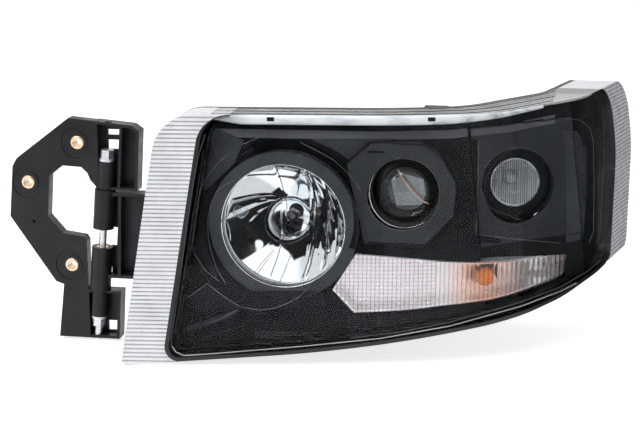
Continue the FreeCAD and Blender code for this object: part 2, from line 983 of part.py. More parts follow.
def front_outline(left_x, lean, top, bottom_lift, top_radius, foot_radius):
    """Area inside the lamp's outline, seen from the front."""
    left = (left_x, sizes.outline_left_z.value)
    side = 90 - lean
    foot = (sizes.outline_bottom_x.value, sizes.outline_bottom_z.value + bottom_lift)
    rise = sizes.bottom_rise.value
    knee_x = sizes.bottom_knee_x.value
    knee_z = foot[1] + (knee_x - foot[0]) * math.tan(math.radians(rise))
    outer_rise = math.tan(math.radians(sizes.bottom_rise_outer.value))
    corner_x = sizes.bottom_corner_x.value
    corner_z = knee_z + (corner_x - knee_x) * outer_rise
    end_x = sizes.bottom_end_x.value
    end_z = sizes.side_bottom_z.value + bottom_lift - sizes.bottom_end_drop.value
    return rounded_face(
        [
            (meet(left, side, foot, rise), foot_radius),
            (meet(left, side, (0, top), 0), top_radius),
            (Vector(SOLID_RIGHT, 0, top), 0),
            (Vector(SOLID_RIGHT, 0, end_z), 0),
            (Vector(end_x, 0, end_z), 20),
            (Vector(corner_x, 0, corner_z), sizes.bottom_corner_radius.value),
            (Vector(knee_x, 0, knee_z), sizes.bottom_knee_radius.value),
        ]
    )


def side_outline(rear_y, top, top_radius, lift):
    """Area inside the lamp's outline, seen from the outer side."""
    knee_z = sizes.side_seam_knee_z.value
    slope = math.tan(math.radians(sizes.side_edge_slope.value))
    bottom_z = sizes.side_bottom_z.value + lift
    bottom_y = sizes.side_bottom_y.value
    foot_y = rear_y - (knee_z - bottom_z) * slope
    return rounded_face(
        [
            (Vector(0, SOLID_FRONT, top), 0),
            (Vector(0, rear_y, top), top_radius),
            (Vector(0, rear_y, knee_z), 90),
            (Vector(0, foot_y, bottom_z + 2), 18),
            (Vector(0, bottom_y, bottom_z), 0),
            (Vector(0, bottom_y - 40, bottom_z - 18), 0),
            (Vector(0, bottom_y - 90, bottom_z - 32), 0),
            (Vector(0, bottom_y - 100, SOLID_BOTTOM), 0),
            (Vector(0, SOLID_FRONT, SOLID_BOTTOM), 0),
        ]
    )


def along_y(face):
    moved = face.copy()
    moved.translate(Vector(0, SOLID_FRONT, 0))
    return moved.extrude(Vector(0, SOLID_BACK - SOLID_FRONT, 0))


def along_x(face):
    return face.extrude(Vector(SOLID_RIGHT, 0, 0))


def inside_outer(inset):
    """Space inside the outer edge of the white strips."""
    front = front_outline(
        sizes.outline_left_x.value + inset,
        sizes.outline_left_lean.value,
        sizes.outline_top.value - inset,
        inset,
        sizes.outline_top_radius.value - inset,
        max(sizes.outline_foot_radius.value - inset, 0),
    )
    rear = sizes.side_seam_y.value + sizes.side_strip_width.value
    side = side_outline(
        rear - inset,
        sizes.outline_top.value - inset,
        sizes.side_outer_radius.value - inset,
        inset,
    )
    return along_y(front).common(along_x(side))


def inside_seam(left_inset, top_inset, side_inset):
    """Space inside the seam between the strips and the lens."""
    front = front_outline(
        sizes.outline_left_x.value + sizes.strip_width.value + left_inset,
        sizes.seam_lean.value,
        sizes.outline_top.value - top_inset,
        left_inset,
        max(sizes.seam_top_radius.value - left_inset, 8),
        max(sizes.seam_foot_radius.value - left_inset, 3),
    )
    side = side_outline(
        sizes.side_seam_y.value - side_inset,
        sizes.outline_top.value - top_inset,
        max(sizes.side_seam_radius.value - side_inset, 8),
        left_inset,
    )
    return along_y(front).common(along_x(side))


# ------------------------------------------------ lens, seal, strips, housing

def make_front_skin():
    """Clear lens, black seal line and the two ribbed strips."""
    front = behind_front(0)
    rest = behind_front(sizes.lens_depth.value)
    shell = front.cut(rest)
    wall = sizes.lens_wall.value
    seal = sizes.seal_width.value
    side_seal = sizes.side_seal_width.value
    lens_space = inside_seam(seal, 0, side_seal)
    lens_hollow = inside_seam(seal + wall, wall, side_seal + wall)
    lens = lens_space.common(shell).cut(lens_hollow.common(behind_front(wall)))
    built("lens", lens)

    seam_space = inside_seam(0, 0, 0)
    drop = sizes.seal_drop.value
    seal_shell = behind_front(drop).cut(behind_front(sizes.seal_depth.value))
    # The seal thins out to nothing where both roundings meet the level top.
    thin_top = Part.makeBox(
        SOLID_RIGHT, SOLID_BACK - SOLID_FRONT, 2 * wall,
        Vector(0, SOLID_FRONT, sizes.outline_top.value - sizes.seal_top_gap.value),
    )
    built("lens_seal", seam_space.cut(lens_space).common(seal_shell).cut(thin_top))

    strip_wall = sizes.strip_wall.value
    outer_space = inside_outer(0)
    outer_hollow = inside_outer(strip_wall).common(behind_front(strip_wall))
    strips = outer_space.common(shell).cut(outer_hollow).cut(seam_space)
    strips = strips.cut(rib_grooves())
    pieces = sorted(strips.Solids, key=lambda solid: solid.CenterOfMass.x)
    built("trim_strip_inner", pieces[0])
    built("trim_strip_outer", pieces[-1])


def rib_grooves():
    """Level grooves in the strips' faces, one every rib pitch."""
    pitch = sizes.rib_pitch.value
    depth = sizes.rib_groove_depth.value
    reach = behind_front(-depth).cut(behind_front(depth))
    low = sizes.outline_bottom_z.value
    high = sizes.outline_top.value
    slabs = []
    height = low + pitch
    while height < high - pitch / 2:
        slabs.append(
            Part.makeBox(
                SOLID_RIGHT,
                SOLID_BACK - SOLID_FRONT,
                sizes.rib_groove.value,
                Vector(0, SOLID_FRONT, height),
            )
        )
        height += pitch
    return Part.makeCompound(slabs).common(reach)


def rear_face(points):
    return Part.Face(Part.makePolygon([Vector(x, y, 0) for x, y in points + points[:1]]))


def in_front_of_back(inset, low):
    """Space in front of the housing's rear wall, above or below its step."""
    step_x = sizes.housing_step_x.value
    back = sizes.housing_back.value - inset
    outer = sizes.housing_back_outer.value - inset
    front = SOLID_FRONT
    if low:
        step_x = step_x + 22
        low_back = sizes.housing_low_back.value - inset
        points = [
            (0, front),
            (0, back),
            (step_x - inset, back),
            (step_x + 6 - inset, low_back),
            (step_x + 76, low_back + 4),
            (step_x + 146, low_back + 38),
            (SOLID_RIGHT, low_back + 165),
            (SOLID_RIGHT, front),
        ]
    else:
        points = [
            (0, front),
            (0, back),
            (step_x + inset, back),
            (step_x + 20 + inset, outer),
            (step_x + 170 - inset, outer),
            (SOLID_RIGHT, outer + 235),
            (SOLID_RIGHT, front),
        ]
    face = rear_face(points)
    split = sizes.housing_low_z.value
    if low:
        face.translate(Vector(0, 0, SOLID_BOTTOM))
        return face.extrude(Vector(0, 0, split - SOLID_BOTTOM + inset))
    face.translate(Vector(0, 0, split + inset))
    return face.extrude(Vector(0, 0, SOLID_TOP - split - inset))


def below_sloping_top(step, inset):
    """Space under the housing's roof, which falls rearwards from the flange."""
    top = sizes.outline_top.value - step
    slope = sizes.roof_slope.value
    start = sizes.roof_start_y.value
    turn_x = sizes.roof_turn_x.value
    corners = [
        (SOLID_FRONT, top), (start - inset, top),
        (SOLID_BACK, top - slope * (SOLID_BACK - start)),
        (SOLID_BACK, SOLID_BOTTOM), (SOLID_FRONT, SOLID_BOTTOM),
    ]
    near = Part.Face(Part.makePolygon([Vector(turn_x, y, z) for y, z in corners + corners[:1]]))
    inner = near.extrude(Vector(-turn_x, 0, 0))
    reach = SOLID_RIGHT - turn_x
    outer = near.extrude(Vector(reach, sizes.roof_sweep.value * reach, 0))
    return inner.fuse(outer)


def housing_space(inset):
    """Space inside the housing bucket, moved inwards by inset."""
    step = sizes.housing_step.value + inset
    bucket = inside_seam(
        sizes.seal_width.value + step,
        step,
        sizes.side_seal_width.value + step,
    )
    bucket = bucket.common(below_sloping_top(step, inset))
    upper = bucket.common(in_front_of_back(inset, False))
    lower = bucket.common(in_front_of_back(inset, True))
    shallow = upper.fuse(lower)
    if inset > 0:
        split = sizes.housing_low_z.value
        both = in_front_of_back(inset, True).copy()
        both.translate(Vector(0, 0, 2 * inset))
        shallow = shallow.fuse(bucket.common(both).common(in_front_of_back(inset, False).fuse(
            slab_between(split - inset, split + inset, 0))))
    return shallow


def slab_between(low, high, start_y):
    return Part.makeBox(
        SOLID_RIGHT, SOLID_BACK - start_y, high - low, Vector(0, start_y, low)
    )


def y_bar(radius, length, x, y, z):
    return Part.makeCylinder(radius, length, Vector(x, y, z), Y_AXIS)


def y_ring(outer, inner, length, x, y, z):
    return y_bar(outer, length, x, y, z).cut(y_bar(inner, length, x, y, z))


def make_housing():
    """Deep bucket behind the lens with a flange that carries lens and strips."""
    depth = sizes.lens_depth.value
    behind_lens = behind_front(depth)
    flange = inside_outer(0).common(behind_lens).cut(
        behind_front(depth + sizes.flange_depth.value)
    )
    bucket = housing_space(0).common(behind_lens)
    hollow = housing_space(sizes.housing_wall.value)
    shell = flange.fuse(bucket).cut(hollow)

    wall = sizes.housing_wall.value
    main = (sizes.main_x.value, sizes.main_z.value)
    projector = (sizes.projector_x.value, sizes.projector_z.value)
    main_back = sizes.housing_back.value
    outer_back = sizes.housing_back_outer.value
    main_cap = sizes.main_cap_radius.value
    projector_cap = sizes.projector_cap_radius.value
    collar = sizes.collar_height.value
    cap_wall = sizes.cap_wall.value
    for radius, (x, z), back in (
        (main_cap, main, main_back),
        (projector_cap, projector, outer_back),
    ):
        shell = shell.fuse(y_bar(radius + cap_wall, collar + wall, x, back - wall, z))
        shell = shell.cut(y_bar(radius, collar + 3 * wall, x, back - 2 * wall, z))

    shell = add_lugs(shell)
    shell = shell.fuse(y_bar(10, 14, sizes.pivot_x.value, main_back - 14, sizes.pivot_z.value))
    shell = shell.fuse(y_bar(9, 14, sizes.pan_x.value, outer_back - 14, sizes.pivot_z.value))
    shell = shell.cut(
        y_bar(sizes.pivot_stud_radius.value, 40, sizes.pivot_x.value, main_back - 30,
              sizes.pivot_z.value)
    )
    shell = shell.cut(
        y_bar(sizes.pan_screw_radius.value + sizes.running_clearance.value, 60,
              sizes.pan_x.value, outer_back - 40, sizes.pivot_z.value)
    )
    shell = shell.cut(
        y_bar(sizes.rod_radius.value + 3, 40, sizes.pivot_x.value, main_back - 30,
              sizes.rod_z.value)
    )
    shell = shell.cut(connector_hole())
    shell = holder_bosses(shell)
    for z in arm_screw_heights():
        for y in arm_screw_depths():
            shell = shell.cut(arm_screw_shank_shape(z.value, y.value))
    shell = shell.cut(vent_holes())
    built("housing", shell.removeSplitter())


def arm_screw_shank_shape(z, y):
    lean = math.radians(sizes.seam_lean.value)
    thickness = sizes.arm_foot_thickness.value
    x = housing_side_x(Size(z, str(z))).value
    along = Vector(math.cos(lean), 0, -math.sin(lean))
    start = Vector(x, y, z) - along * thickness
    return Part.makeCylinder(
        sizes.screw_radius.value, thickness + sizes.housing_wall.value, start, along
    )


def lug_places():
    """(x, y, z, side that points towards the housing) of the two outer fixing lugs."""
    top = sizes.outline_top.value
    back = sizes.housing_back.value
    return (
        (sizes.upper_lug_x.value, back - 60, top - sizes.upper_lug_drop.value, -1),
        (sizes.lower_lug_x.value, back - 16, sizes.lower_lug_z.value, 1),
    )


def add_lugs(shell):
    length = sizes.lug_thickness.value
    width = sizes.lug_width.value
    height = sizes.lug_radius.value + sizes.lug_foot_height.value
    for x, back, z, towards in lug_places():
        low = z - (sizes.lug_radius.value if towards > 0 else sizes.lug_foot_height.value)
        lug = Part.makeBox(width, length, height, Vector(x - width / 2, back, low))
        shell = shell.fuse(lug.cut(housing_space(sizes.housing_wall.value)))
        shell = shell.cut(y_bar(sizes.lug_bush_radius.value, length, x, back, z))
    return shell


def vent_places():
    back = sizes.housing_back.value
    return ((222.0, back, 48.0), (sizes.projector_x.value + 62, sizes.housing_back_outer.value, 44.0))


def vent_holes():
    wall = sizes.housing_wall.value
    return Part.makeCompound(
        [y_bar(6, 3 * wall, x, y - 2 * wall, z) for x, y, z in vent_places()]
    )


def make_vent_caps():
    caps = []
    for x, y, z in vent_places():
        stem = y_bar(6, sizes.housing_wall.value, x, y - sizes.housing_wall.value, z)
        caps.append(stem.fuse(y_bar(9.5, 6, x, y, z)).removeSplitter())
    built("vent_caps", Part.makeCompound(caps))


def make_lug_bushes():
    length = sizes.lug_thickness.value
    rings = [
        y_ring(sizes.lug_bush_radius.value, sizes.lug_bore_radius.value, length, x, back, z)
        for x, back, z, towards in lug_places()
    ]
    built("lug_bushes", Part.makeCompound(rings))


def connector_hole():
    width = sizes.connector_width.value - 6
    height = sizes.connector_height.value - 6
    return Part.makeBox(
        width, 20, height,
        Vector(sizes.connector_x.value - width / 2, sizes.housing_back_outer.value - 10,
               sizes.connector_z.value - height / 2),
    )


def make_connector():
    """Socket on the housing's back: a shroud with a floor, and four pins."""
    width = sizes.connector_width.value
    height = sizes.connector_height.value
    length = sizes.connector_length.value
    back = sizes.housing_back_outer.value
    x = sizes.connector_x.value
    z = sizes.connector_z.value
    wall = 2.0
    body = Part.makeBox(width, length, height, Vector(x - width / 2, back, z - height / 2))
    inner = Part.makeBox(
        width - 2 * wall, length, height - 2 * wall,
        Vector(x - width / 2 + wall, back + 3, z - height / 2 + wall),
    )
    body = body.cut(inner)
    pins = []
    for column in range(4):
        pin_x = x - width / 2 + width * (column + 1) / 5
        pins.append(Part.makeBox(2, sizes.pin_length.value, 2, Vector(pin_x - 1, back, z - 1)))
    built("connector_pins", Part.makeCompound(pins))
    built("connector_socket", body.cut(Part.makeCompound(pins)))


# ------------------------------------------------------------- mask and rings

def behind_mask(inset):
    """Everything behind the black mask's face, moved inwards by inset."""
    front = front_face(sizes.mask_inset.value + inset)
    pocket_x = sizes.mask_pocket_x.value
    slope = (sizes.mask_pocket_end_y.value - sizes.mask_pocket_y.value) / (
        sizes.mask_pocket_end_x.value - pocket_x
    )
    drop = inset * math.sqrt(1 + slope * slope)
    near = pocket_x - inset
    reach = sizes.mask_pocket_end_x.value - inset
    far_back = FRONT_AREA_BACK
    pocket_face = rear_face(
        [
            (near, sizes.mask_pocket_y.value + drop - inset * slope),
            (reach, sizes.mask_pocket_y.value + drop + (reach - pocket_x) * slope),
            (reach, far_back),
            (near, far_back),
        ]
    )
    inner = rear_face([(0, SOLID_FRONT), (near, SOLID_FRONT), (near, far_back), (0, far_back)])
    side = front_face(sizes.mask_wing_inset.value + inset)
    wing = rear_face(
        [
            (reach, sizes.mask_pocket_end_y.value),
            (reach + 90, sizes.mask_pocket_end_y.value),
            (reach + 90, far_back),
            (reach, far_back),
        ]
    )
    return lean_prism(front.common(inner)).fuse(lean_prism(pocket_face)).fuse(
        lean_prism(side.common(wing))
    )


def mask_space(inset):
    gap = sizes.lens_wall.value + sizes.mask_clearance.value + inset
    return inside_seam(sizes.seal_width.value + gap, gap, sizes.side_seal_width.value + gap)


def cornering_bar(radius, start, length):
    """A round bar on the cornering lamp's axis, start measured rearwards from its front."""
    yaw = math.radians(sizes.cornering_yaw.value)
    along = Vector(-math.sin(yaw), math.cos(yaw), 0)
    centre = Vector(sizes.cornering_x.value, sizes.cornering_y.value, sizes.cornering_z.value)
    return Part.makeCylinder(radius, length, centre + along * start, along)


def indicator_face():
    """Outline of the indicator window, seen from the front."""
    corners = [
        (351, -58.5), (405, -63), (437, -67), (491, -71.5), (537, -77.7), (560, -80),
        (558, -103.7), (525, -106.5), (491, -108.5), (438, -112), (406, -115.5), (350, -119),
        (328, -95.7),
    ]
    return Part.Face(Part.makePolygon([Vector(x, 0, z) for x, z in corners + corners[:1]]))


def indicator_space(shrink):
    face = indicator_face()
    if shrink > 0:
        face = face.makeOffset2D(-shrink)
    return along_y(face)


def projector_outline():
    """Flat-sided plate around the projector, seen from the front."""
    return [
        (341.5, 34), (365.5, 55.5), (415, 56), (432, 47.5), (451, 14.5), (449, -17.5),
        (419.5, -49), (359.5, -47),
    ]


def projector_turn(shape):
    """Yaw a shape built square to the vehicle about the middle of the projector plate."""
    shape.rotate(
        Vector(sizes.projector_x.value, sizes.projector_front.value, 0),
        Z_AXIS,
        sizes.projector_yaw.value,
    )
    return shape


def projector_space(shrink, start):
    """Space inside the projector plate's outline, from start behind its face."""
    y = sizes.projector_front.value + start
    corners = [Vector(x, y, z) for x, z in projector_outline()]
    face = Part.Face(Part.makePolygon(corners + corners[:1]))
    if shrink > 0:
        face = face.makeOffset2D(-shrink)
    return projector_turn(face.extrude(Vector(0, 90 - start, 0)))


def make_mask():
    """Black mask behind the lens, with openings for the lamps."""
    wall = sizes.mask_wall.value
    face = behind_mask(0)
    inner_face = behind_mask(wall)
    sheet_part = face.cut(inner_face).common(mask_space(0))
    rim = mask_space(0).cut(mask_space(wall)).common(
        behind_front(sizes.mask_rim_depth.value)
    ).cut(inner_face)
    mask = sheet_part.fuse(rim)
    x, z = sizes.main_x.value, sizes.main_z.value
    mask = mask.cut(y_bar(sizes.main_ring_radius.value, 200, x, SOLID_FRONT + 60, z))
    mask = mask.cut(projector_space(0, 0))
    mask = mask.cut(cornering_bar(sizes.cornering_tube_radius.value, -80, 160))
    mask = mask.cut(indicator_space(0))
    mask = mask.common(behind_front(sizes.lens_wall.value + sizes.mask_clearance.value))
    built("bezel", mask.removeSplitter())
    make_cornering_panel()


def make_cornering_panel():
    """Grey plate that lies on the mask's slanted pocket, around the cornering lamp."""
    start_x = sizes.mask_pocket_x.value + 1
    end_x = sizes.mask_pocket_end_x.value + 1
    start_y = sizes.mask_pocket_y.value
    slope = (sizes.mask_pocket_end_y.value - start_y) / (
        sizes.mask_pocket_end_x.value - sizes.mask_pocket_x.value
    )
    rise = sizes.panel_thickness.value * math.sqrt(1 + slope * slope)
    face = rear_face(
        [
            (start_x, start_y + slope),
            (start_x, start_y + slope - rise),
            (end_x, start_y + slope * (end_x - start_x + 1) - rise),
            (end_x, start_y + slope * (end_x - start_x + 1)),
        ]
    )
    bottom = sizes.panel_bottom.value
    height = sizes.panel_top.value - bottom
    lean = Vector(sizes.front_lean_x.value, sizes.front_lean_y.value, 1)
    face.translate(lean * bottom)
    panel = face.extrude(lean * height)
    panel = panel.cut(cornering_bar(sizes.cornering_tube_radius.value, -80, 160))
    built("cornering_panel", panel)


def make_main_ring():
    """Drum around the main reflector's opening."""
    x, z = sizes.main_x.value, sizes.main_z.value
    outer = sizes.main_ring_radius.value
    opening = sizes.main_opening_radius.value
    front = sizes.main_front.value
    depth = sizes.main_ring_depth.value
    wall = sizes.mask_wall.value
    drum = y_bar(outer, depth, x, front, z)
    gutter = y_ring(outer - wall, opening + wall, depth, x, front + wall, z)
    throat = y_bar(opening, depth, x, front, z)
    sleeve_end = sizes.main_reflector_front.value - 9
    trim = y_bar(opening + wall + 1, 60, x, sleeve_end, z)
    built("main_bezel_ring", drum.cut(gutter).cut(throat).cut(trim))


def make_projector_bezel():
    """Raised flat-sided plate around the projector, and its thin bright ring."""
    wall = sizes.mask_wall.value
    front = sizes.projector_front.value
    x, z = sizes.projector_x.value, sizes.projector_z.value
    opening = sizes.projector_opening_radius.value
    ring = sizes.projector_ring_width.value
    shell = projector_space(0, 0).cut(behind_mask(wall)).cut(projector_space(wall, wall))
    shell = shell.cut(projector_turn(y_bar(opening + ring, 60, x, front - 20, z)))
    shell = shell.cut(y_bar(sizes.main_ring_radius.value, 200, sizes.main_x.value,
                            SOLID_FRONT + 60, sizes.main_z.value))
    built("projector_bezel", shell)
    trim = y_ring(opening + ring, opening, wall + 1, x, front - 1, z)
    built("projector_trim_ring", projector_turn(trim))


def make_cornering_lamp():
    """Black tube, fluted lens, bowl and bulb of the cornering lamp."""
    wall = sizes.mask_wall.value
    tube_radius = sizes.cornering_tube_radius.value
    length = sizes.cornering_tube_length.value
    lens_radius = sizes.cornering_lens_radius.value
    inset = sizes.cornering_lens_inset.value
    tube = cornering_bar(tube_radius, 0, length).cut(
        cornering_bar(tube_radius - wall, 0, inset)
    )
    tube = tube.cut(cornering_bar(lens_radius, 0, length))
    tube = tube.cut(
        cornering_bar(tube_radius - wall, inset + wall, length).cut(
            cornering_bar(lens_radius + wall, inset + wall, length)
        )
    )
    built("cornering_tube", tube)

    lens = cornering_bar(lens_radius, inset - 1, 4)
    count = int(sizes.flute_count.value)
    pitch = 2 * lens_radius / count
    yaw = sizes.cornering_yaw.value
    grooves = []
    for index in range(count + 1):
        offset = -lens_radius + index * pitch
        groove = Part.makeCylinder(pitch * 0.36, 2 * lens_radius, Vector(offset, 0, -lens_radius),
                                   Z_AXIS)
        grooves.append(groove)
    comb = Part.makeCompound(grooves)
    comb.rotate(Vector(0, 0, 0), Z_AXIS, yaw)
    along = Vector(-math.sin(math.radians(yaw)), math.cos(math.radians(yaw)), 0)
    centre = Vector(sizes.cornering_x.value, sizes.cornering_y.value, sizes.cornering_z.value)
    comb.translate(centre + along * (inset - 1.6))
    built("cornering_lens", lens.cut(comb))

    bowl_start = inset + 3
    depth = sizes.cornering_reflector_depth.value
    bowl = revolve_bowl(lens_radius - 1.6, depth, 1.6, 9.0, [])
    bowl.rotate(Vector(0, 0, 0), Z_AXIS, yaw)
    bowl.translate(centre + along * bowl_start)
    built("cornering_reflector", bowl)

    bulb_start = bowl_start + depth - 16
    built("cornering_bulb", cornering_bar(4.5, bulb_start, 20))
    neck_radius = sizes.cornering_neck_radius.value
    neck_length = sizes.cornering_neck_length.value
    flange = sizes.holder_flange.value
    holder = cornering_bar(neck_radius, bulb_start + 20, neck_length)
    holder = holder.fuse(cornering_bar(neck_radius + 4.5, cornering_seat(), flange))
    built("cornering_bulb_holder", holder.removeSplitter())


def cornering_seat():
    """Distance along the cornering axis to the face its holder rests on."""
    bulb_start = (
        sizes.cornering_lens_inset.value + 3 + sizes.cornering_reflector_depth.value - 16
    )
    return bulb_start + 20 + sizes.cornering_neck_length.value


def indicator_seat():
    return sizes.indicator_bulb_y.value + 14 + sizes.indicator_neck_length.value


def holder_bosses(shell):
    """Bosses with bores for the cornering and indicator bulb holders."""
    gap = sizes.swing_clearance.value
    reach = 16
    x, z = sizes.indicator_bulb_x.value, sizes.indicator_bulb_z.value
    seat = cornering_seat()
    radius = sizes.cornering_neck_radius.value
    shell = shell.fuse(cornering_bar(radius + 4, seat - reach, reach))
    shell = shell.cut(cornering_bar(radius + gap, seat - 2 * reach, 3 * reach))
    seat = indicator_seat()
    radius = sizes.indicator_neck_radius.value
    shell = shell.fuse(y_bar(radius + 4, reach, x, seat - reach, z))
    return shell.cut(y_bar(radius + gap, 3 * reach, x, seat - 2 * reach, z))


def bowl_curve(radius, depth, shift, from_radius, to_radius):
    """Edge along a parabola that is radius wide at y = 0, moved outwards by shift."""
    steps = 12
    points = []
    for index in range(steps + 1):
        r = from_radius + (to_radius - from_radius) * index / steps
        y = shift + depth * (1 - ((r - shift) / radius) ** 2)
        points.append(Vector(r, y, 0))
    curve = Part.BSplineCurve()
    curve.interpolate(points)
    return curve.toShape(), points[0], points[-1]


def bowl_radius(radius, depth, shift, y):
    """Radius of the moved parabola at a depth."""
    return shift + radius * math.sqrt(1 - (y - shift) / depth)


def revolve_bowl(radius, depth, wall, hole_radius, steps):
    """A bowl open towards -Y; steps are corners (radius, y) of rings behind it."""
    inner, inner_start, inner_end = bowl_curve(radius, depth, 0, hole_radius, radius)
    rim = Vector(radius + wall, 0, 0)
    edges = [inner, line_edge(inner_end, rim)]
    behind_rim = Vector(radius + wall, wall, 0)
    edges.append(line_edge(rim, behind_rim))
    last_radius = radius + wall
    last = behind_rim
    for ring in steps:
        ring_radius, start, end = ring
        near = bowl_radius(radius, depth, wall, start)
        if ring_radius > near:
            curve, unused, last = bowl_curve(radius, depth, wall, last_radius, near)
            edges.append(curve)
            far = bowl_radius(radius, depth, wall, end)
            corners = [last, Vector(ring_radius, start, 0), Vector(ring_radius, end, 0),
                       Vector(far, end, 0)]
            last_radius = far
        else:
            curve, unused, last = bowl_curve(radius, depth, wall, last_radius, ring_radius)
            edges.append(curve)
            corners = [last, Vector(ring_radius, end, 0), Vector(hole_radius, end, 0)]
            last_radius = hole_radius
        for first, second in zip(corners, corners[1:]):
            edges.append(line_edge(first, second))
        last = corners[-1]
    if last_radius > hole_radius:
        curve, unused, last = bowl_curve(radius, depth, wall, last_radius, hole_radius)
        edges.append(curve)
    edges.append(line_edge(last, inner_start))
    return Part.Face(Part.Wire(edges)).revolve(Vector(0, 0, 0), Y_AXIS, 360)


def make_indicator():
    """Patterned lens, tray reflector, amber bulb and its holder."""
    inset = sizes.indicator_inset.value
    lens_back = inset + sizes.indicator_lens_wall.value
    depth = sizes.indicator_depth.value
    room = sizes.housing_wall.value + 0.6
    window = indicator_space(0).common(housing_space(room))
    lens = window.common(behind_front(inset)).cut(behind_front(lens_back))
    built("indicator_lens", lens)
    wall = 1.8
    tray = window.common(behind_front(lens_back)).cut(behind_front(lens_back + depth))
    tray_hollow = indicator_space(wall).common(housing_space(room + wall))
    tray = tray.cut(tray_hollow.common(behind_front(lens_back - 1)).cut(
        behind_front(lens_back + depth - wall)))
    x, y, z = (
        sizes.indicator_bulb_x.value,
        sizes.indicator_bulb_y.value,
        sizes.indicator_bulb_z.value,
    )
    tray = tray.cut(y_bar(10.5, 60, x, y + 2, z))
    built("indicator_reflector", tray)
    glass = Part.makeSphere(9.5, Vector(x, y, z)).fuse(y_bar(7.5, 14, x, y, z))
    built("indicator_bulb", glass.removeSplitter())
    neck_radius = sizes.indicator_neck_radius.value
    neck = y_bar(neck_radius, sizes.indicator_neck_length.value, x, y + 14, z)
    flange = y_bar(neck_radius + 4.5, sizes.holder_flange.value, x, indicator_seat(), z)
    built("indicator_bulb_holder", neck.fuse(flange).removeSplitter())


# -------------------------------------------------- carrier and what it carries

def carrier_outline():
    main_x, main_z = sizes.main_x.value, sizes.main_z.value
    return [
        (main_x - 62, main_z - 40), (main_x - 62, sizes.pivot_z.value + 6),
        (sizes.pan_x.value + 11, sizes.pivot_z.value + 6), (sizes.pan_x.value + 11, -38),
        (main_x + 66, -38), (main_x + 66, -52), (sizes.pivot_x.value + 12, sizes.rod_z.value - 11),
        (main_x - 40, sizes.rod_z.value - 11),
    ]


def make_carrier():
    """Aiming frame with the bosses that sit on its three supports."""
    front = sizes.carrier_front.value
    thickness = sizes.carrier_thickness.value
    corners = [Vector(x, front, z) for x, z in carrier_outline()]
    frame = Part.Face(Part.makePolygon(corners + corners[:1])).extrude(Vector(0, thickness, 0))
    frame = frame.cut(y_bar(45, 40, sizes.main_x.value, front - 10, sizes.main_z.value))
    frame = frame.cut(y_bar(39.5, 40, sizes.projector_x.value, front - 10,
                            sizes.projector_z.value))
    frame = frame.cut(y_bar(6.5, 40, sizes.main_x.value - 50, front - 10,
                            sizes.main_z.value + 4))
    pan_x = sizes.pan_x.value
    pivot_z = sizes.pivot_z.value
    frame = frame.cut(y_bar(sizes.pan_screw_radius.value + 1.2, 40, pan_x, front - 10, pivot_z))
    built("carrier_frame", frame.removeSplitter())

    back = front + thickness
    pivot = Vector(sizes.pivot_x.value, sizes.pivot_y.value, pivot_z)
    ball_space = sizes.pivot_ball_radius.value + sizes.swing_clearance.value
    cup = y_bar(12, sizes.pivot_y.value - back + 4, pivot.x, back, pivot_z)
    cup = cup.cut(pivot_sphere(ball_space, pivot))
    cup = cup.cut(Part.makeCone(6.4, 9.5, 6, pivot + Vector(0, 2, 0), Y_AXIS))
    cup = cup.cut(y_bar(6.4, 10, pivot.x, pivot.y, pivot_z))
    cup = cup.cut(trunnion(pivot, sizes.running_clearance.value))
    built("pivot_socket", cup)

    rod = Vector(sizes.pivot_x.value, sizes.pivot_y.value + 6, sizes.rod_z.value)
    rod_space = sizes.rod_ball_radius.value + sizes.ball_clearance.value
    rod_cup = y_bar(10.5, rod.y - back + 3, rod.x, back, rod.z)
    rod_cup = rod_cup.cut(Part.makeSphere(rod_space, rod))
    rod_cup = rod_cup.cut(y_bar(sizes.rod_radius.value + 1, 20, rod.x, rod.y, rod.z))
    built("rod_socket", rod_cup)

    nut = Part.makeBox(18, pivot.y + 6 - back, 12, Vector(pan_x - 9, back, pivot_z - 6))
    nut = nut.cut(y_bar(sizes.pan_screw_radius.value + 0.4, 40, pan_x, front, pivot_z))
    nut = nut.cut(y_bar(sizes.pan_screw_radius.value + 2, pivot.y - 6 - front, pan_x, front, pivot_z))
    built("pan_nut", nut)


def pivot_sphere(radius, pivot):
    """Ball whose seam lies rearwards, clear of the level pin."""
    sphere = Part.makeSphere(radius, pivot)
    sphere.rotate(pivot, Z_AXIS, 90)
    return sphere


def trunnion(pivot, gap):
    """Level pin across the pivot that the carrier tilts on."""
    reach = sizes.trunnion_reach.value + 4 * gap
    radius = sizes.trunnion_radius.value + gap
    return Part.makeCylinder(radius, 2 * reach, pivot - Vector(reach, 0, 0), X_AXIS)


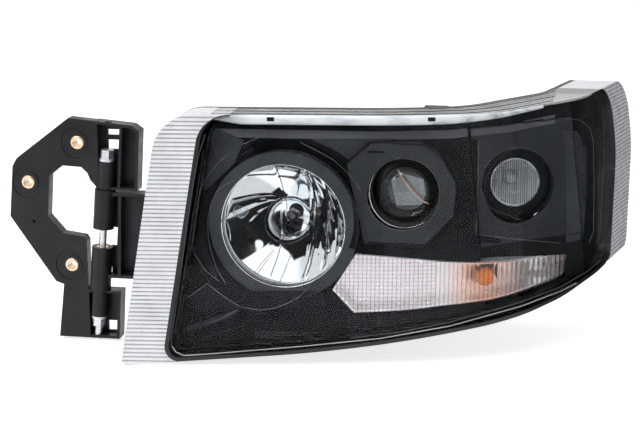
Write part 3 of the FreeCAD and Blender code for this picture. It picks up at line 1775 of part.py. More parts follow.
def make_supports():
    """Pivot stud with its ball, the motor's push rod and the pan screw."""
    pivot = Vector(sizes.pivot_x.value, sizes.pivot_y.value, sizes.pivot_z.value)
    stud_radius = sizes.pivot_stud_radius.value
    pin_radius = sizes.pivot_pin_radius.value
    back = sizes.housing_back.value
    ball_radius = sizes.pivot_ball_radius.value
    stud = y_bar(stud_radius, back - pivot.y - 1, pivot.x, pivot.y + 1, pivot.z)
    pin = Part.makeCylinder(pin_radius, 9, pivot - Vector(0, 0, 4.5), Z_AXIS)
    stud = stud.fuse(pin).removeSplitter()
    built("pivot_stud", stud)
    slot = Part.makeBox(2 * stud_radius + 1.6, 2 * ball_radius, 2 * stud_radius + 0.8)
    slot.translate(pivot - Vector(stud_radius + 0.8, 0, stud_radius + 0.4))
    bore = Part.makeCylinder(
        pin_radius + sizes.running_clearance.value, 30, pivot - Vector(0, 0, 15), Z_AXIS
    )
    ball_with_pin = pivot_sphere(ball_radius, pivot).fuse(trunnion(pivot, 0))
    built("pivot_ball", ball_with_pin.cut(slot).cut(bore))

    rod = Vector(sizes.pivot_x.value, sizes.pivot_y.value + 6, sizes.rod_z.value)
    rod_radius = sizes.rod_radius.value
    rod_end = back + 16
    level_rod = Part.makeSphere(sizes.rod_ball_radius.value, rod).fuse(
        y_bar(rod_radius, rod_end - rod.y, rod.x, rod.y, rod.z)
    )
    built("level_rod", level_rod.removeSplitter())

    screw_start = sizes.carrier_front.value + 1
    outer_back = sizes.housing_back_outer.value
    screw = y_bar(sizes.pan_screw_radius.value, outer_back + 4 - screw_start, sizes.pan_x.value,
                  screw_start, pivot.z)
    screw = screw.fuse(y_bar(7.5, 8, sizes.pan_x.value, outer_back + 0.3, pivot.z))
    built("pan_screw", screw.removeSplitter())


def make_level_motor():
    """Box with a flange, screwed to the housing's back; the push rod slides in it."""
    width = sizes.motor_width.value
    height = sizes.motor_height.value
    depth = sizes.motor_depth.value
    back = sizes.housing_back.value
    left = sizes.pivot_x.value - 13
    top = sizes.rod_z.value + 14
    body = Part.makeBox(width, depth, height, Vector(left, back, top - height))
    body = body.makeFillet(4, [edge for edge in body.Edges if is_along_y(edge)])
    neck = y_bar(11, 6, sizes.pivot_x.value, back + depth, sizes.rod_z.value - 6)
    socket_box = Part.makeBox(20, 12, 14, Vector(left + 32, back + depth, top - 34))
    socket_hole = Part.makeBox(16, 10, 10, Vector(left + 34, back + depth + 3, top - 32))
    body = body.fuse(neck).fuse(socket_box).cut(socket_hole)
    bore = y_bar(
        sizes.rod_radius.value + sizes.running_clearance.value, 24, sizes.pivot_x.value, back,
        sizes.rod_z.value,
    )
    body = body.cut(bore)
    screws = []
    for x, z in ((left + 7, top - height + 7), (left + width - 7, top - 7)):
        screws.append(
            y_bar(3.4, 3, x, back + depth, z).fuse(y_bar(1.8, depth, x, back, z)).removeSplitter()
        )
        body = body.cut(y_bar(1.8, depth, x, back, z))
    built("motor_screws", Part.makeCompound(screws))
    built("level_motor", body.removeSplitter())


def is_along_y(edge):
    start, end = edge.Vertexes[0].Point, edge.Vertexes[-1].Point
    return abs(start.x - end.x) < 0.001 and abs(start.z - end.z) < 0.001


def make_main_reflector():
    """Deep bowl with a mounting ring that sits on the carrier, and its bulb."""
    wall = sizes.reflector_wall.value
    radius = sizes.main_reflector_radius.value - wall
    depth = radius * radius / (4 * sizes.main_reflector_focus.value)
    front = sizes.main_reflector_front.value
    x, z = sizes.main_x.value, sizes.main_z.value
    carrier = sizes.carrier_front.value
    hole = sizes.bulb_hole_radius.value
    ring_end = carrier - front
    neck_end = depth + 5
    bowl = revolve_bowl(
        radius, depth, wall, hole, [(56.0, ring_end - 3, ring_end), (16.0, depth - 6, neck_end)]
    )
    bowl.translate(Vector(x, front, z))
    position_x = x - 50
    body = bowl.cut(y_bar(6.5, 60, position_x, carrier - 28, z + 4))
    built("main_reflector", body.removeSplitter())

    base_start = front + neck_end
    glass = y_bar(sizes.bulb_glass_radius.value, 34, x, base_start - 34, z)
    built("main_bulb_glass", glass)
    base = y_bar(sizes.bulb_base_radius.value, 5, x, base_start, z).fuse(
        Part.makeBox(16, sizes.bulb_base_length.value, 12, Vector(x - 8, base_start, z - 6))
    )
    built("main_bulb_base", base.removeSplitter())

    seat = carrier + sizes.carrier_thickness.value
    built("position_bulb", y_bar(5, seat - 4, position_x, 4, z + 4))
    built("position_bulb_holder", y_bar(8.5, 14, position_x, seat, z + 4))


def make_projector():
    """Lens, holder, shield, reflector and bulb of the projector lamp."""
    x, z = sizes.projector_x.value, sizes.projector_z.value
    lens_radius = sizes.projector_lens_radius.value
    seat = sizes.projector_lens_seat.value
    height = sizes.projector_lens_height.value
    dome_radius = (lens_radius * lens_radius + height * height) / (2 * height)
    dome = Part.makeSphere(dome_radius, Vector(x, seat - height + dome_radius, z))
    lens = dome.common(y_bar(lens_radius, height, x, seat - height, z)).fuse(
        y_bar(lens_radius, 2, x, seat, z)
    )
    built("projector_lens", lens.removeSplitter())

    outer = sizes.projector_holder_radius.value
    carrier = sizes.carrier_front.value
    holder_front = seat - sizes.holder_overlap.value
    holder = y_bar(outer, carrier - holder_front, x, holder_front, z).fuse(
        y_bar(outer + 7, 3, x, carrier - 3, z)
    )
    holder = holder.cut(y_bar(lens_radius, seat + 2 - holder_front, x, holder_front, z))
    holder = holder.cut(y_bar(lens_radius - 2, carrier, x, holder_front, z))
    built("projector_lens_holder", holder.removeSplitter())

    back = sizes.projector_back.value
    wall = sizes.reflector_wall.value
    profile = [
        (38.0, carrier), (36.5, carrier + 16), (31.5, carrier + 34), (22.5, carrier + 50),
        (13.0, back),
    ]
    inner = Part.BSplineCurve()
    inner.interpolate([Vector(r - wall, y, 0) for r, y in profile])
    outer_curve = Part.BSplineCurve()
    outer_curve.interpolate([Vector(r, y, 0) for r, y in profile])
    first, last = profile[0], profile[-1]
    edges = [
        inner.toShape(),
        line_edge(Vector(last[0] - wall, last[1], 0), Vector(last[0], last[1], 0)),
        outer_curve.toShape(),
        line_edge(Vector(first[0], first[1], 0), Vector(first[0] - wall, first[1], 0)),
    ]
    shell = Part.Face(Part.Wire(Part.__sortEdges__(edges))).revolve(
        Vector(0, 0, 0), Y_AXIS, 360
    )
    shell.translate(Vector(x, 0, z))
    built("projector_reflector", shell)
    shield = y_bar(lens_radius - 2, 2, x, carrier - 2, z).cut(
        Part.makeBox(100, 10, 60, Vector(x - 50, carrier - 6, z + 1))
    )
    built("projector_shield", shield)

    glass = y_bar(5.0, 34, x, back - 32, z)
    base_start = back
    base = y_bar(sizes.bulb_base_radius.value, 6, x, base_start, z).fuse(
        Part.makeBox(18, sizes.bulb_base_length.value, 14, Vector(x - 9, base_start, z - 7))
    )
    glass = glass.cut(y_bar(5.0, 6, x, base_start, z))
    built("projector_bulb_glass", glass)
    built("projector_bulb_base", base.removeSplitter())


def make_carrier_screws():
    """Screws through both lamps' mounting rings into the carrier."""
    carrier = sizes.carrier_front.value
    screws = []
    places = []
    for turn in (90, 210, 330):
        angle = math.radians(turn)
        places.append(
            (sizes.main_x.value + 53.4 * math.cos(angle), sizes.main_z.value + 53.4 * math.sin(angle))
        )
    for turn in (90, 210, 330):
        angle = math.radians(turn)
        places.append(
            (
                sizes.projector_x.value + 43.0 * math.cos(angle),
                sizes.projector_z.value + 43.0 * math.sin(angle),
            )
        )
    for x, z in places:
        screws.append(y_bar(2.4, 2, x, carrier - 5, z))
    built("carrier_screws", Part.makeCompound(screws))


# ------------------------------------------------------------------ rear caps

def make_cap(node, radius, x, back, z):
    """Twist cap over a collar, with a grip bar and a flat seal."""
    clearance = sizes.swing_clearance.value
    wall = sizes.cap_wall.value
    collar = sizes.collar_height.value
    inner = radius + wall + clearance
    seal_depth = 2.0
    top = back + collar + seal_depth
    skirt = y_ring(inner + wall, inner, collar + seal_depth - 4, x, back + 4, z)
    disc = y_bar(inner + wall, wall, x, top, z)
    grip = Part.makeBox(radius * 1.5, 9, 7, Vector(x - radius * 0.75, top + wall, z - 3.5))
    built(node, skirt.fuse(disc).fuse(grip).removeSplitter())
    seal = y_ring(radius + wall - 0.2, radius - 1, seal_depth, x, back + collar, z)
    built(f"{node}_seal", seal)


make_hinge_bracket()
make_hinge_bolt()
make_hinge_arm()
make_front_skin()
make_housing()
make_vent_caps()
make_lug_bushes()
make_connector()
make_mask()
make_main_ring()
make_projector_bezel()
make_cornering_lamp()
make_indicator()
make_carrier()
make_supports()
make_level_motor()
make_main_reflector()
make_projector()
make_carrier_screws()
make_cap(
    "main_cap", sizes.main_cap_radius.value, sizes.main_x.value, sizes.housing_back.value,
    sizes.main_z.value,
)
make_cap(
    "projector_cap", sizes.projector_cap_radius.value, sizes.projector_x.value,
    sizes.housing_back_outer.value, sizes.projector_z.value,
)

# ------------------------------------------------------------- check and write

document.recompute()
for item in document.Objects:
    if {"Invalid", "Error"} & set(item.State):
        raise RuntimeError(f"{item.Name} failed: {item.State}")
for node, item in parts.items():
    if item.Shape.isNull() or not item.Shape.isValid():
        raise RuntimeError(f"{node} has no valid shape")

os.makedirs("parts", exist_ok=True)
for node, item in parts.items():
    item.Shape.exportStep(f"parts/{node}.step")
    print(f"{node}: {len(item.Shape.Solids)} solids, {item.Shape.Volume:.0f} mm3")
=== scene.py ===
"""Looks of a hinged vehicle headlight: materials, fine optics, light and camera.

Lengths are in metres in the part's own frame: +X to the vehicle's outer side, +Y rearwards,
+Z up, from the middle bore of the hinge bracket. Small sizes are in millimetres, times MM.
"""

import json
import math

import bpy
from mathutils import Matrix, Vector
from mathutils.bvhtree import BVHTree


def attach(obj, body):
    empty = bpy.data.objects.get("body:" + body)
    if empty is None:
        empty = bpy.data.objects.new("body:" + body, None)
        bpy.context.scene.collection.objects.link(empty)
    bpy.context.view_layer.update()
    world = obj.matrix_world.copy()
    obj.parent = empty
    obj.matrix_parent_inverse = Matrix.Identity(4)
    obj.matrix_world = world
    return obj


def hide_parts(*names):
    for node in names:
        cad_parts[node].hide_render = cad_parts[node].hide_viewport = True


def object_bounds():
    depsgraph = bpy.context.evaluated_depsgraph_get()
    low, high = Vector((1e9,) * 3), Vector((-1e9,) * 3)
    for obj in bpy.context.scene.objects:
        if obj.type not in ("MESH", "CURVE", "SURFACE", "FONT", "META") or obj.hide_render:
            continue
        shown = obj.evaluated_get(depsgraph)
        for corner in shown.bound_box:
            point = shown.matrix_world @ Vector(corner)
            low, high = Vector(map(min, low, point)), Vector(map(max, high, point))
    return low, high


MM = 0.001

CAMERA_PLACE = Vector((0.6053, -1.6671, 0.3683))
CAMERA_AZIMUTH = math.radians(10.0)
CAMERA_ELEVATION = math.radians(13.0)
FOCAL = 95.6
SENSOR = 36.0
IMAGE_WIDTH, IMAGE_HEIGHT = 640, 429

camera_back = Vector((
    math.sin(CAMERA_AZIMUTH) * math.cos(CAMERA_ELEVATION),
    -math.cos(CAMERA_AZIMUTH) * math.cos(CAMERA_ELEVATION),
    math.sin(CAMERA_ELEVATION),
))
camera_right = Vector((math.cos(CAMERA_AZIMUTH), math.sin(CAMERA_AZIMUTH), 0))
camera_up = camera_back.cross(camera_right)

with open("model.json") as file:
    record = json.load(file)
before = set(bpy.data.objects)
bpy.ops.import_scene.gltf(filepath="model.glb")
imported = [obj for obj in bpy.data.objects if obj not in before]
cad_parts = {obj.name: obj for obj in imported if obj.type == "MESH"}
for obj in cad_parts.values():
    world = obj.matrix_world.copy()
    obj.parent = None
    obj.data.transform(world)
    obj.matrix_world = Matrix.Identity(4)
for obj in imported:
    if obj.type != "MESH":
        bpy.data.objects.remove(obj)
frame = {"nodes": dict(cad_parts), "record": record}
nodes = frame["nodes"]
cad_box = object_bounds()


# ---- shader helpers

class Tree:
    """Short ways to add and join the shader nodes of one material or world."""

    def __init__(self, owner, output="OutputMaterial"):
        self.owner = owner
        owner.use_nodes = True
        self.tree = owner.node_tree
        self.tree.nodes.clear()
        self.output = self.add(output)

    def add(self, kind, inputs=(), **settings):
        """New shader node; inputs gives each socket a plain value or the output that feeds it."""
        node = self.tree.nodes.new("ShaderNode" + kind)
        for key, value in settings.items():
            setattr(node, key, value)
        for socket, value in dict(inputs).items():
            if isinstance(value, bpy.types.NodeSocket):
                self.tree.links.new(value, node.inputs[socket])
            elif value is not None:
                node.inputs[socket].default_value = value
        return node

    def place(self, scale=(1, 1, 1)):
        where = self.add("TexCoord").outputs["Object"]
        return self.add("Mapping", {"Vector": where, "Scale": scale}).outputs["Vector"]

    def split(self, vector=None):
        return self.add("SeparateXYZ", {"Vector": vector or self.place()}).outputs

    def noise(self, scale, detail=3.0, vector=None):
        vector = vector or self.place()
        node = self.add("TexNoise", {"Scale": scale, "Detail": detail, "Vector": vector})
        return node.outputs["Fac"]

    def spread(self, value, low, high, from_low=0.3, from_high=0.7):
        return self.add("MapRange", {
            "Value": value, "From Min": from_low, "From Max": from_high,
            "To Min": low, "To Max": high,
        }).outputs["Result"]

    def ramp(self, value, *stops):
        node = self.add("ValToRGB", {"Fac": value})
        elements = node.color_ramp.elements
        while len(elements) < len(stops):
            elements.new(0.5)
        for element, (position, color) in zip(elements, stops):
            element.position = position
            element.color = (*color, 1.0)
        return node.outputs["Color"]

    def clouds(self, scale, detail, dark, light, low=0.3, high=0.7):
        """Colour that drifts between two tones."""
        return self.ramp(self.noise(scale, detail), (low, dark), (high, light))

    def math(self, operation, first, second=None):
        return self.add("Math", {0: first, 1: second}, operation=operation).outputs["Value"]

    def stripes(self, coordinate, start, pitch, *stops):
        """Colour by the distance from a rib's middle: 0 there, 0.5 at a groove."""
        turns = self.math("DIVIDE", self.math("SUBTRACT", coordinate, start), pitch)
        off_centre = self.math("ABSOLUTE", self.math("SUBTRACT", self.math("FRACT", turns), 0.5))
        return self.ramp(off_centre, *stops)

    def product(self, first, second):
        inputs = {"Fac": 1.0, "Color1": first, "Color2": second}
        return self.add("MixRGB", inputs, blend_type="MULTIPLY").outputs["Color"]

    def mix(self, share, first, second):
        return self.add("MixShader", {0: share, 1: first, 2: second}).outputs["Shader"]

    def bump(self, height, strength, distance):
        inputs = {"Height": height, "Strength": strength, "Distance": distance}
        return self.add("Bump", inputs).outputs["Normal"]

    def seen(self):
        """1 for the rays of camera, mirrors and glass, and 0 for the rest."""
        path = self.add("LightPath").outputs
        direct = self.math("MAXIMUM", path["Is Camera Ray"], path["Is Glossy Ray"])
        return self.math("MAXIMUM", direct, path["Is Transmission Ray"])

    def finish(self, shader):
        self.tree.links.new(shader, self.output.inputs["Surface"])
        return self.owner

    def painted(self, inputs):
        """Finished material with one Principled shader."""
        return self.finish(self.add("BsdfPrincipled", inputs).outputs["BSDF"])


def new_tree(name):
    return Tree(bpy.data.materials.new(name + "_m"))


# ---- materials

def moulded(name, dark, light, rough_low, rough_high, grain=900.0, strength=0.25, depth=0.0001,
            specular=0.5, edge=0.0):
    """Moulded plastic: cloudy colour, uneven gloss, a fine grain and softened edges."""
    tree = new_tree(name)
    relief = {"Height": tree.noise(grain, 2.0), "Strength": strength, "Distance": depth}
    if edge:
        relief["Normal"] = tree.add("Bevel", {"Radius": edge}, samples=4).outputs["Normal"]
    return tree.painted({
        "Base Color": tree.clouds(28.0, 4.0, dark, light, 0.32, 0.68),
        "Roughness": tree.spread(tree.noise(75.0, 2.0), rough_low, rough_high),
        "Specular IOR Level": specular,
        "Normal": tree.add("Bump", relief).outputs["Normal"],
    })


def metal(name, dark, light, rough_low, rough_high):
    """Metal with fine plating marks."""
    tree = new_tree(name)
    marks = tree.noise(400.0, 3.0)
    return tree.painted({
        "Metallic": 1.0,
        "Base Color": tree.ramp(marks, (0.3, dark), (0.7, light)),
        "Roughness": tree.spread(marks, rough_low, rough_high),
        "Normal": tree.bump(marks, 0.08, 0.0001),
    })


def mirror(name, dark, light, rough=0.03, ripple=0.02, metallic=1.0):
    """Vapour-coated mirror with a faint ripple."""
    tree = new_tree(name)
    return tree.painted({
        "Metallic": metallic,
        "Base Color": tree.clouds(45.0, 2.0, dark, light),
        "Roughness": tree.spread(tree.noise(160.0, 2.0), rough, rough * 2),
        "Normal": tree.bump(tree.noise(120.0, 1.0), ripple, 0.0005),
    })


def thin_clear(name, tint, rough, base, painted_foot=False):
    """Clear wall that mirrors more at a slant; a painted foot is black on level faces."""
    tree = new_tree(name)
    facing = tree.add("LayerWeight", {"Blend": 0.5}).outputs["Facing"]
    steep = tree.math("POWER", facing, 5.0)
    amount = tree.math("ADD", tree.math("MULTIPLY", steep, 1.0 - base), base)
    amount = tree.math("MULTIPLY", amount, tree.spread(tree.noise(14.0, 4.0), 0.85, 1.15))
    through = tree.add("BsdfTransparent", {"Color": (*tint, 1.0)})
    gloss = tree.add("BsdfAnisotropic", {"Color": (1, 1, 1, 1), "Roughness": rough})
    result = tree.mix(amount, through.outputs["BSDF"], gloss.outputs["BSDF"])
    if painted_foot:
        black = tree.clouds(60.0, 3.0, (0.006, 0.006, 0.007), (0.014, 0.014, 0.016))
        paint = tree.add("BsdfPrincipled", {"Roughness": 0.25, "Base Color": black})
        face = tree.add("NewGeometry").outputs
        upright = tree.math("ABSOLUTE", tree.split(face["True Normal"])["Z"])
        level = tree.math("GREATER_THAN", upright, 0.6)
        low = tree.math("LESS_THAN", tree.split(face["Position"])["Z"], 0.0)
        result = tree.mix(tree.math("MULTIPLY", level, low), result, paint.outputs["BSDF"])
    return tree.finish(result)


def solid_glass(name, pale, deep):
    """Solid pressed glass that bends what is behind it."""
    tree = new_tree(name)
    return tree.painted({
        "Roughness": 0.0, "IOR": 1.5, "Transmission Weight": 1.0,
        "Base Color": tree.clouds(40.0, 2.0, pale, deep),
    })


RIB_PITCH = 4.2 * MM
RIB_START = -170.0 * MM
TOP_RIB_PITCH = 9.0 * MM


def ribbed(name):
    """White plastic with painted shade in its grooves, which are stacked along z, or along y on
    level faces.
    """
    tree = new_tree(name)
    body = tree.clouds(35.0, 3.0, (0.8, 0.81, 0.82), (0.92, 0.925, 0.93))
    upright = tree.split(tree.add("NewGeometry").outputs["True Normal"])["Z"]
    x, y, z = tree.split()
    course = tree.add("Mix", {
        "Factor": tree.math("GREATER_THAN", upright, 0.7),
        "A": z,
        "B": tree.math("MULTIPLY", y, RIB_PITCH / TOP_RIB_PITCH),
    })
    # Grey towards each groove: painted shade.
    groove = tree.stripes(
        course.outputs["Result"], RIB_START, RIB_PITCH,
        (0.22, (1, 1, 1)), (0.38, (0.74, 0.75, 0.77)), (0.47, (0.4, 0.41, 0.43)))
    return tree.painted({
        "Base Color": tree.product(body, groove),
        "Roughness": tree.spread(tree.noise(90.0), 0.22, 0.36),
    })


# Pyramids and flutes of the indicator's cover, and where its painted amber reflection of the bulb
# lies.
GRID_START = 328.0 * MM
COLUMN_PITCH = 4.3 * MM
ROW_START = -200.0 * MM
ROW_PITCH = 3.9 * MM
GRID_END = 432.0 * MM
AMBER_REFLECTION_PLACE = 486.0 * MM
AMBER_REFLECTION_REACH = 38.0 * MM


def indicator_glass(name):
    """Pressed clear cover with painted shade in the grooves between its prisms, and a painted amber
    reflection of the bulb round its place.
    """
    tree = new_tree(name)
    x, y, z = tree.split()
    # Stripes darker at the grooves between the prisms: painted shade.
    columns = tree.stripes(
        x, GRID_START, COLUMN_PITCH,
        (0.3, (1, 1, 1)), (0.41, (0.88, 0.84, 0.85)), (0.48, (0.5, 0.45, 0.45)))
    rows = tree.stripes(
        z, ROW_START, ROW_PITCH,
        (0.3, (1, 1, 1)), (0.41, (0.92, 0.89, 0.9)), (0.48, (0.66, 0.62, 0.63)))
    fluted = tree.math("GREATER_THAN", x, GRID_END)
    rows = tree.add("MixRGB", {"Fac": fluted, "Color1": rows, "Color2": (1, 1, 1, 1)})
    prism_groove_shade = tree.product(columns, rows.outputs["Color"])
    body = tree.clouds(50.0, 3.0, (0.98, 0.945, 0.95), (1.0, 0.985, 0.985))
    # Amber tint round the bulb's place: painted reflection of the amber bulb.
    distance = tree.math("ABSOLUTE", tree.math("SUBTRACT", x, AMBER_REFLECTION_PLACE))
    away = tree.math("DIVIDE", distance, AMBER_REFLECTION_REACH)
    uneven = tree.math("ADD", away, tree.spread(tree.noise(260.0, 2.0), -0.3, 0.3))
    amber = tree.ramp(
        uneven, (0.05, (1.0, 0.74, 0.6)), (0.55, (0.95, 0.8, 0.75)), (1.0, (1, 1, 1)))
    return tree.painted({
        "Roughness": 0.03, "IOR": 1.35, "Transmission Weight": 1.0,
        "Base Color": tree.product(tree.product(body, prism_groove_shade), amber),
    })


CORNERING_YAW = math.radians(14.0)
CORNERING_X = 505.5 * MM
FLUTE_PITCH = 2.3 * MM


def fluted_glass(name):
    """Clear glass whose fine upright flutes are marked by dark lines of painted shade."""
    tree = new_tree(name)
    x, y, z = tree.split()
    across = tree.math(
        "ADD", tree.math("MULTIPLY", x, math.cos(CORNERING_YAW)),
        tree.math("MULTIPLY", y, math.sin(CORNERING_YAW)))
    # Dark lines at the flutes' edges: painted shade.
    lines = tree.stripes(
        across, CORNERING_X, FLUTE_PITCH,
        (0.12, (1, 1, 1)), (0.3, (0.8, 0.81, 0.82)), (0.45, (0.1, 0.1, 0.1)))
    body = tree.clouds(60.0, 2.0, (0.95, 0.97, 0.985), (1, 1, 1))
    return tree.painted({
        "Roughness": 0.05, "IOR": 1.4, "Transmission Weight": 1.0,
        "Base Color": tree.product(body, lines),
    })


BAR_DIM_FROM, BAR_DIM_TO = 208.0 * MM, 250.0 * MM


def light_bar(name):
    """Milky light guide, cloudy along its length and dimmer at its inner end."""
    tree = new_tree(name)
    body = tree.ramp(
        tree.noise(90.0, 3.0, tree.place((0.25, 1, 1))),
        (0.3, (0.42, 0.44, 0.46)), (0.42, (0.78, 0.8, 0.82)), (0.55, (0.97, 0.975, 0.98)))
    dim = tree.spread(tree.split()["X"], 0.0, 1.0, BAR_DIM_FROM, BAR_DIM_TO)
    dim = tree.ramp(dim, (0.0, (0.22, 0.23, 0.24)), (1.0, (1, 1, 1)))
    return tree.painted({
        "Roughness": 0.18,
        "Base Color": tree.product(body, dim),
        "Normal": tree.bump(tree.noise(500.0, 2.0, tree.place((0.3, 1, 1))), 0.3, 0.0002),
    })


# Each table gives the darker and lighter tone first, then the arguments that follow them.
MOULDINGS = {
    "housing_resin": ((0.012, 0.012, 0.013), (0.026, 0.026, 0.028), 0.45, 0.6, 800, 0.3),
    "seal_black": ((0.006, 0.006, 0.007), (0.014, 0.014, 0.015), 0.35, 0.5, 700, 0.2),
    "amber_glass": ((0.95, 0.36, 0.1), (1.0, 0.55, 0.24), 0.08, 0.15, 300, 0.02),
    "carrier_resin": ((0.03, 0.03, 0.032), (0.05, 0.05, 0.052), 0.4, 0.55),
    "holder_resin": ((0.02, 0.02, 0.022), (0.036, 0.036, 0.038), 0.4, 0.55),
    "motor_resin": ((0.018, 0.018, 0.02), (0.034, 0.034, 0.037), 0.35, 0.5),
    "white_resin": ((0.62, 0.62, 0.58), (0.74, 0.74, 0.7), 0.3, 0.45),
    "cap_rubber": ((0.01, 0.01, 0.011), (0.02, 0.02, 0.021), 0.5, 0.7),
    "bulb_frost": ((0.8, 0.82, 0.84), (0.95, 0.95, 0.95), 0.2, 0.3, 300, 0.02),
    "highlight_pale": ((0.34, 0.35, 0.36), (0.6, 0.61, 0.62), 0.2, 0.3, 300, 0.05),
    "line_mid": ((0.13, 0.135, 0.14), (0.24, 0.245, 0.25), 0.2, 0.3, 300, 0.05),
    "line_grey": ((0.06, 0.063, 0.067), (0.11, 0.115, 0.12), 0.2, 0.3, 300, 0.05),
    "ridge_dark": ((0.01, 0.01, 0.011), (0.03, 0.03, 0.031), 0.2, 0.3, 500, 0.05),
    "ridge_pale": ((0.3, 0.31, 0.32), (0.5, 0.51, 0.52), 0.15, 0.3, 500, 0.05),
    "mask_edge": ((0.016, 0.017, 0.019), (0.03, 0.031, 0.034), 0.18, 0.28, 1400, 0.05),
}
METALS = {
    "insert_brass": ((0.82, 0.56, 0.36), (0.96, 0.74, 0.54), 0.24, 0.36),
    "zinc_steel": ((0.55, 0.56, 0.58), (0.78, 0.79, 0.81), 0.35, 0.5),
    "glint_copper": ((0.9, 0.5, 0.4), (1.0, 0.75, 0.62), 0.3, 0.5),
    "reflection_grey": ((0.3, 0.31, 0.32), (0.5, 0.51, 0.53), 0.3, 0.5),
    "bulb_tip": ((0.05, 0.05, 0.055), (0.16, 0.16, 0.17), 0.2, 0.35),
}
MIRRORS = {
    "mirror_coat": ((0.84, 0.85, 0.86), (0.93, 0.93, 0.94)),
    "facet_mirror": ((0.84, 0.85, 0.86), (0.93, 0.93, 0.94), 0.03, 0.01),
    "shaded_mirror": ((0.05, 0.05, 0.053), (0.11, 0.11, 0.114), 0.12),
    "knurl_silver": ((0.42, 0.43, 0.44), (0.6, 0.61, 0.62), 0.22),
    "satin_silver": ((0.93, 0.93, 0.94), (0.98, 0.98, 0.98), 0.14, 0.02, 0.62),
}
# Smooth faces behind the cover: darker and lighter tone, roughness, share of the usual gloss. The
# facet, ring and shoulder tones are lit and shaded copies of the mask's black: painted light and
# shade.
MASK_TONES = {
    "mask_black": ((0.009, 0.0101, 0.0112), (0.0145, 0.016, 0.0176), 0.24, 0.06),
    "panel_grey": ((0.037, 0.04, 0.044), (0.05, 0.054, 0.059), 0.26, 0.08),
    "shade_dark": ((0.0012, 0.0013, 0.0015), (0.003, 0.0032, 0.0036), 0.28, 0.12),
    "painted_light_mid": ((0.013, 0.0145, 0.016), (0.021, 0.0225, 0.025), 0.24, 0.08),
    "painted_light_pale": ((0.03, 0.032, 0.035), (0.048, 0.051, 0.056), 0.24, 0.1),
    "plate_grey": ((0.034, 0.037, 0.039), (0.048, 0.052, 0.054), 0.24, 0.1),
    "painted_light_ring": ((0.047, 0.051, 0.055), (0.068, 0.073, 0.078), 0.24, 0.1),
    "painted_light_shoulder": ((0.12, 0.126, 0.134), (0.17, 0.176, 0.184), 0.24, 0.1),
}
MASK_ROUGH_SPAN = 0.1

materials = {
    "black_resin": moulded("black_resin", (0.0065, 0.008, 0.009), (0.0165, 0.019, 0.021),
                           0.3, 0.46, 1100, specular=0.26, edge=0.8 * MM),
    "clear_cover": thin_clear("clear_cover", (0.955, 0.965, 0.97), 0.02, 0.003, painted_foot=True),
    "lamp_glass": thin_clear("lamp_glass", (0.9, 0.92, 0.94), 0.01, 0.05),
    # The projector lens's grey tint darkens what it shows: painted shade.
    "projector_glass": solid_glass("projector_glass", (0.55, 0.56, 0.57), (0.66, 0.67, 0.68)),
    "strip_white": ribbed("strip_white"),
    "pressed_glass": fluted_glass("pressed_glass"),
    "indicator_clear": indicator_glass("indicator_clear"),
    "bar_white": light_bar("bar_white"),
}
for make, table in ((moulded, MOULDINGS), (metal, METALS), (mirror, MIRRORS)):
    for name, values in table.items():
        materials[name] = make(name, *values)
for name, (dark, light, rough, specular) in MASK_TONES.items():
    materials[name] = moulded(name, dark, light, rough, rough + MASK_ROUGH_SPAN,
                              1400.0, 0.05, 0.00002, specular)

# Pieces whose finish isn't the one of their material slot.
NODE_FINISHES = {
    "projector_lens": "projector_glass",
    "projector_reflector": "shaded_mirror",
    # The projector's reflector and shield get dark finishes: painted shade inside the projector.
    "projector_trim_ring": "ridge_dark",
    # The chrome trim ring gets a dark finish: painted reflection of dark surroundings.
    "projector_bezel": "plate_grey",
    "projector_shield": "shade_dark",
    # The main ring's lighter grey: painted light.
    "main_bezel_ring": "painted_light_ring",
    "cornering_bulb": "bulb_frost",
    "cornering_reflector": "satin_silver",
    "indicator_reflector": "satin_silver",
}

for part in frame["record"]["subparts"]:
    finish = NODE_FINISHES.get(part["node"], part["material_slot"])
    shown = nodes[part["node"]].data.materials
    shown.clear()
    shown.append(materials[finish])


# ---- mesh helpers

def mesh_object(name, vertices, faces, material, smooth=True):
    mesh = bpy.data.meshes.new(name)
    mesh.from_pydata([tuple(v) for v in vertices], [], faces)
    mesh.validate()
    if smooth:
        mesh.polygons.foreach_set("use_smooth", [True] * len(mesh.polygons))
    mesh.update()
    shape = bpy.data.objects.new(name, mesh)
    bpy.context.scene.collection.objects.link(shape)
    mesh.materials.append(material)
    return shape


def add_piece(name, vertices, faces, finish, body="lamp", smooth=True):
    """Piece with its finish and its body."""
    piece = mesh_object(name, vertices, faces, materials[finish], smooth)
    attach(piece, body)
    return piece


def grid_faces(rows, columns, close_rows=False, close_columns=False, offset=0, flip=False):
    faces = []
    for i in range(rows if close_rows else rows - 1):
        for j in range(columns if close_columns else columns - 1):
            a = i * columns + j
            b = i * columns + (j + 1) % columns
            c = ((i + 1) % rows) * columns + (j + 1) % columns
            d = ((i + 1) % rows) * columns + j
            quad = (a, b, c, d) if not flip else (d, c, b, a)
            faces.append(tuple(offset + k for k in quad))
    return faces


def tube_faces(count, sides, closed=False):
    """Faces of a tube of rings, with a flat cap at each end unless it is closed."""
    faces = grid_faces(count, sides, close_rows=closed, close_columns=True)
    if not closed:
        faces.append(tuple(range(sides)))
        faces.append(tuple(reversed(range((count - 1) * sides, count * sides))))
    return faces


def lathe(name, profile, centre, finish, body, steps, knurl=0.0):
    """Turns (radius, distance behind the centre) in mm about Y, with knurl as half ridges."""
    axis = Vector((0, 1, 0))
    side = axis.orthogonal().normalized()
    third = axis.cross(side)
    vertices = []
    for radius, along in profile:
        for k in range(steps):
            turn = 2 * math.pi * k / steps
            here = (radius + (knurl if k % 2 else -knurl)) * MM
            vertices.append(centre + axis * along * MM
                            + (side * math.cos(turn) + third * math.sin(turn)) * here)
    faces = grid_faces(len(profile), steps, close_columns=True)
    return add_piece(name, vertices, faces, finish, body, smooth=not knurl)


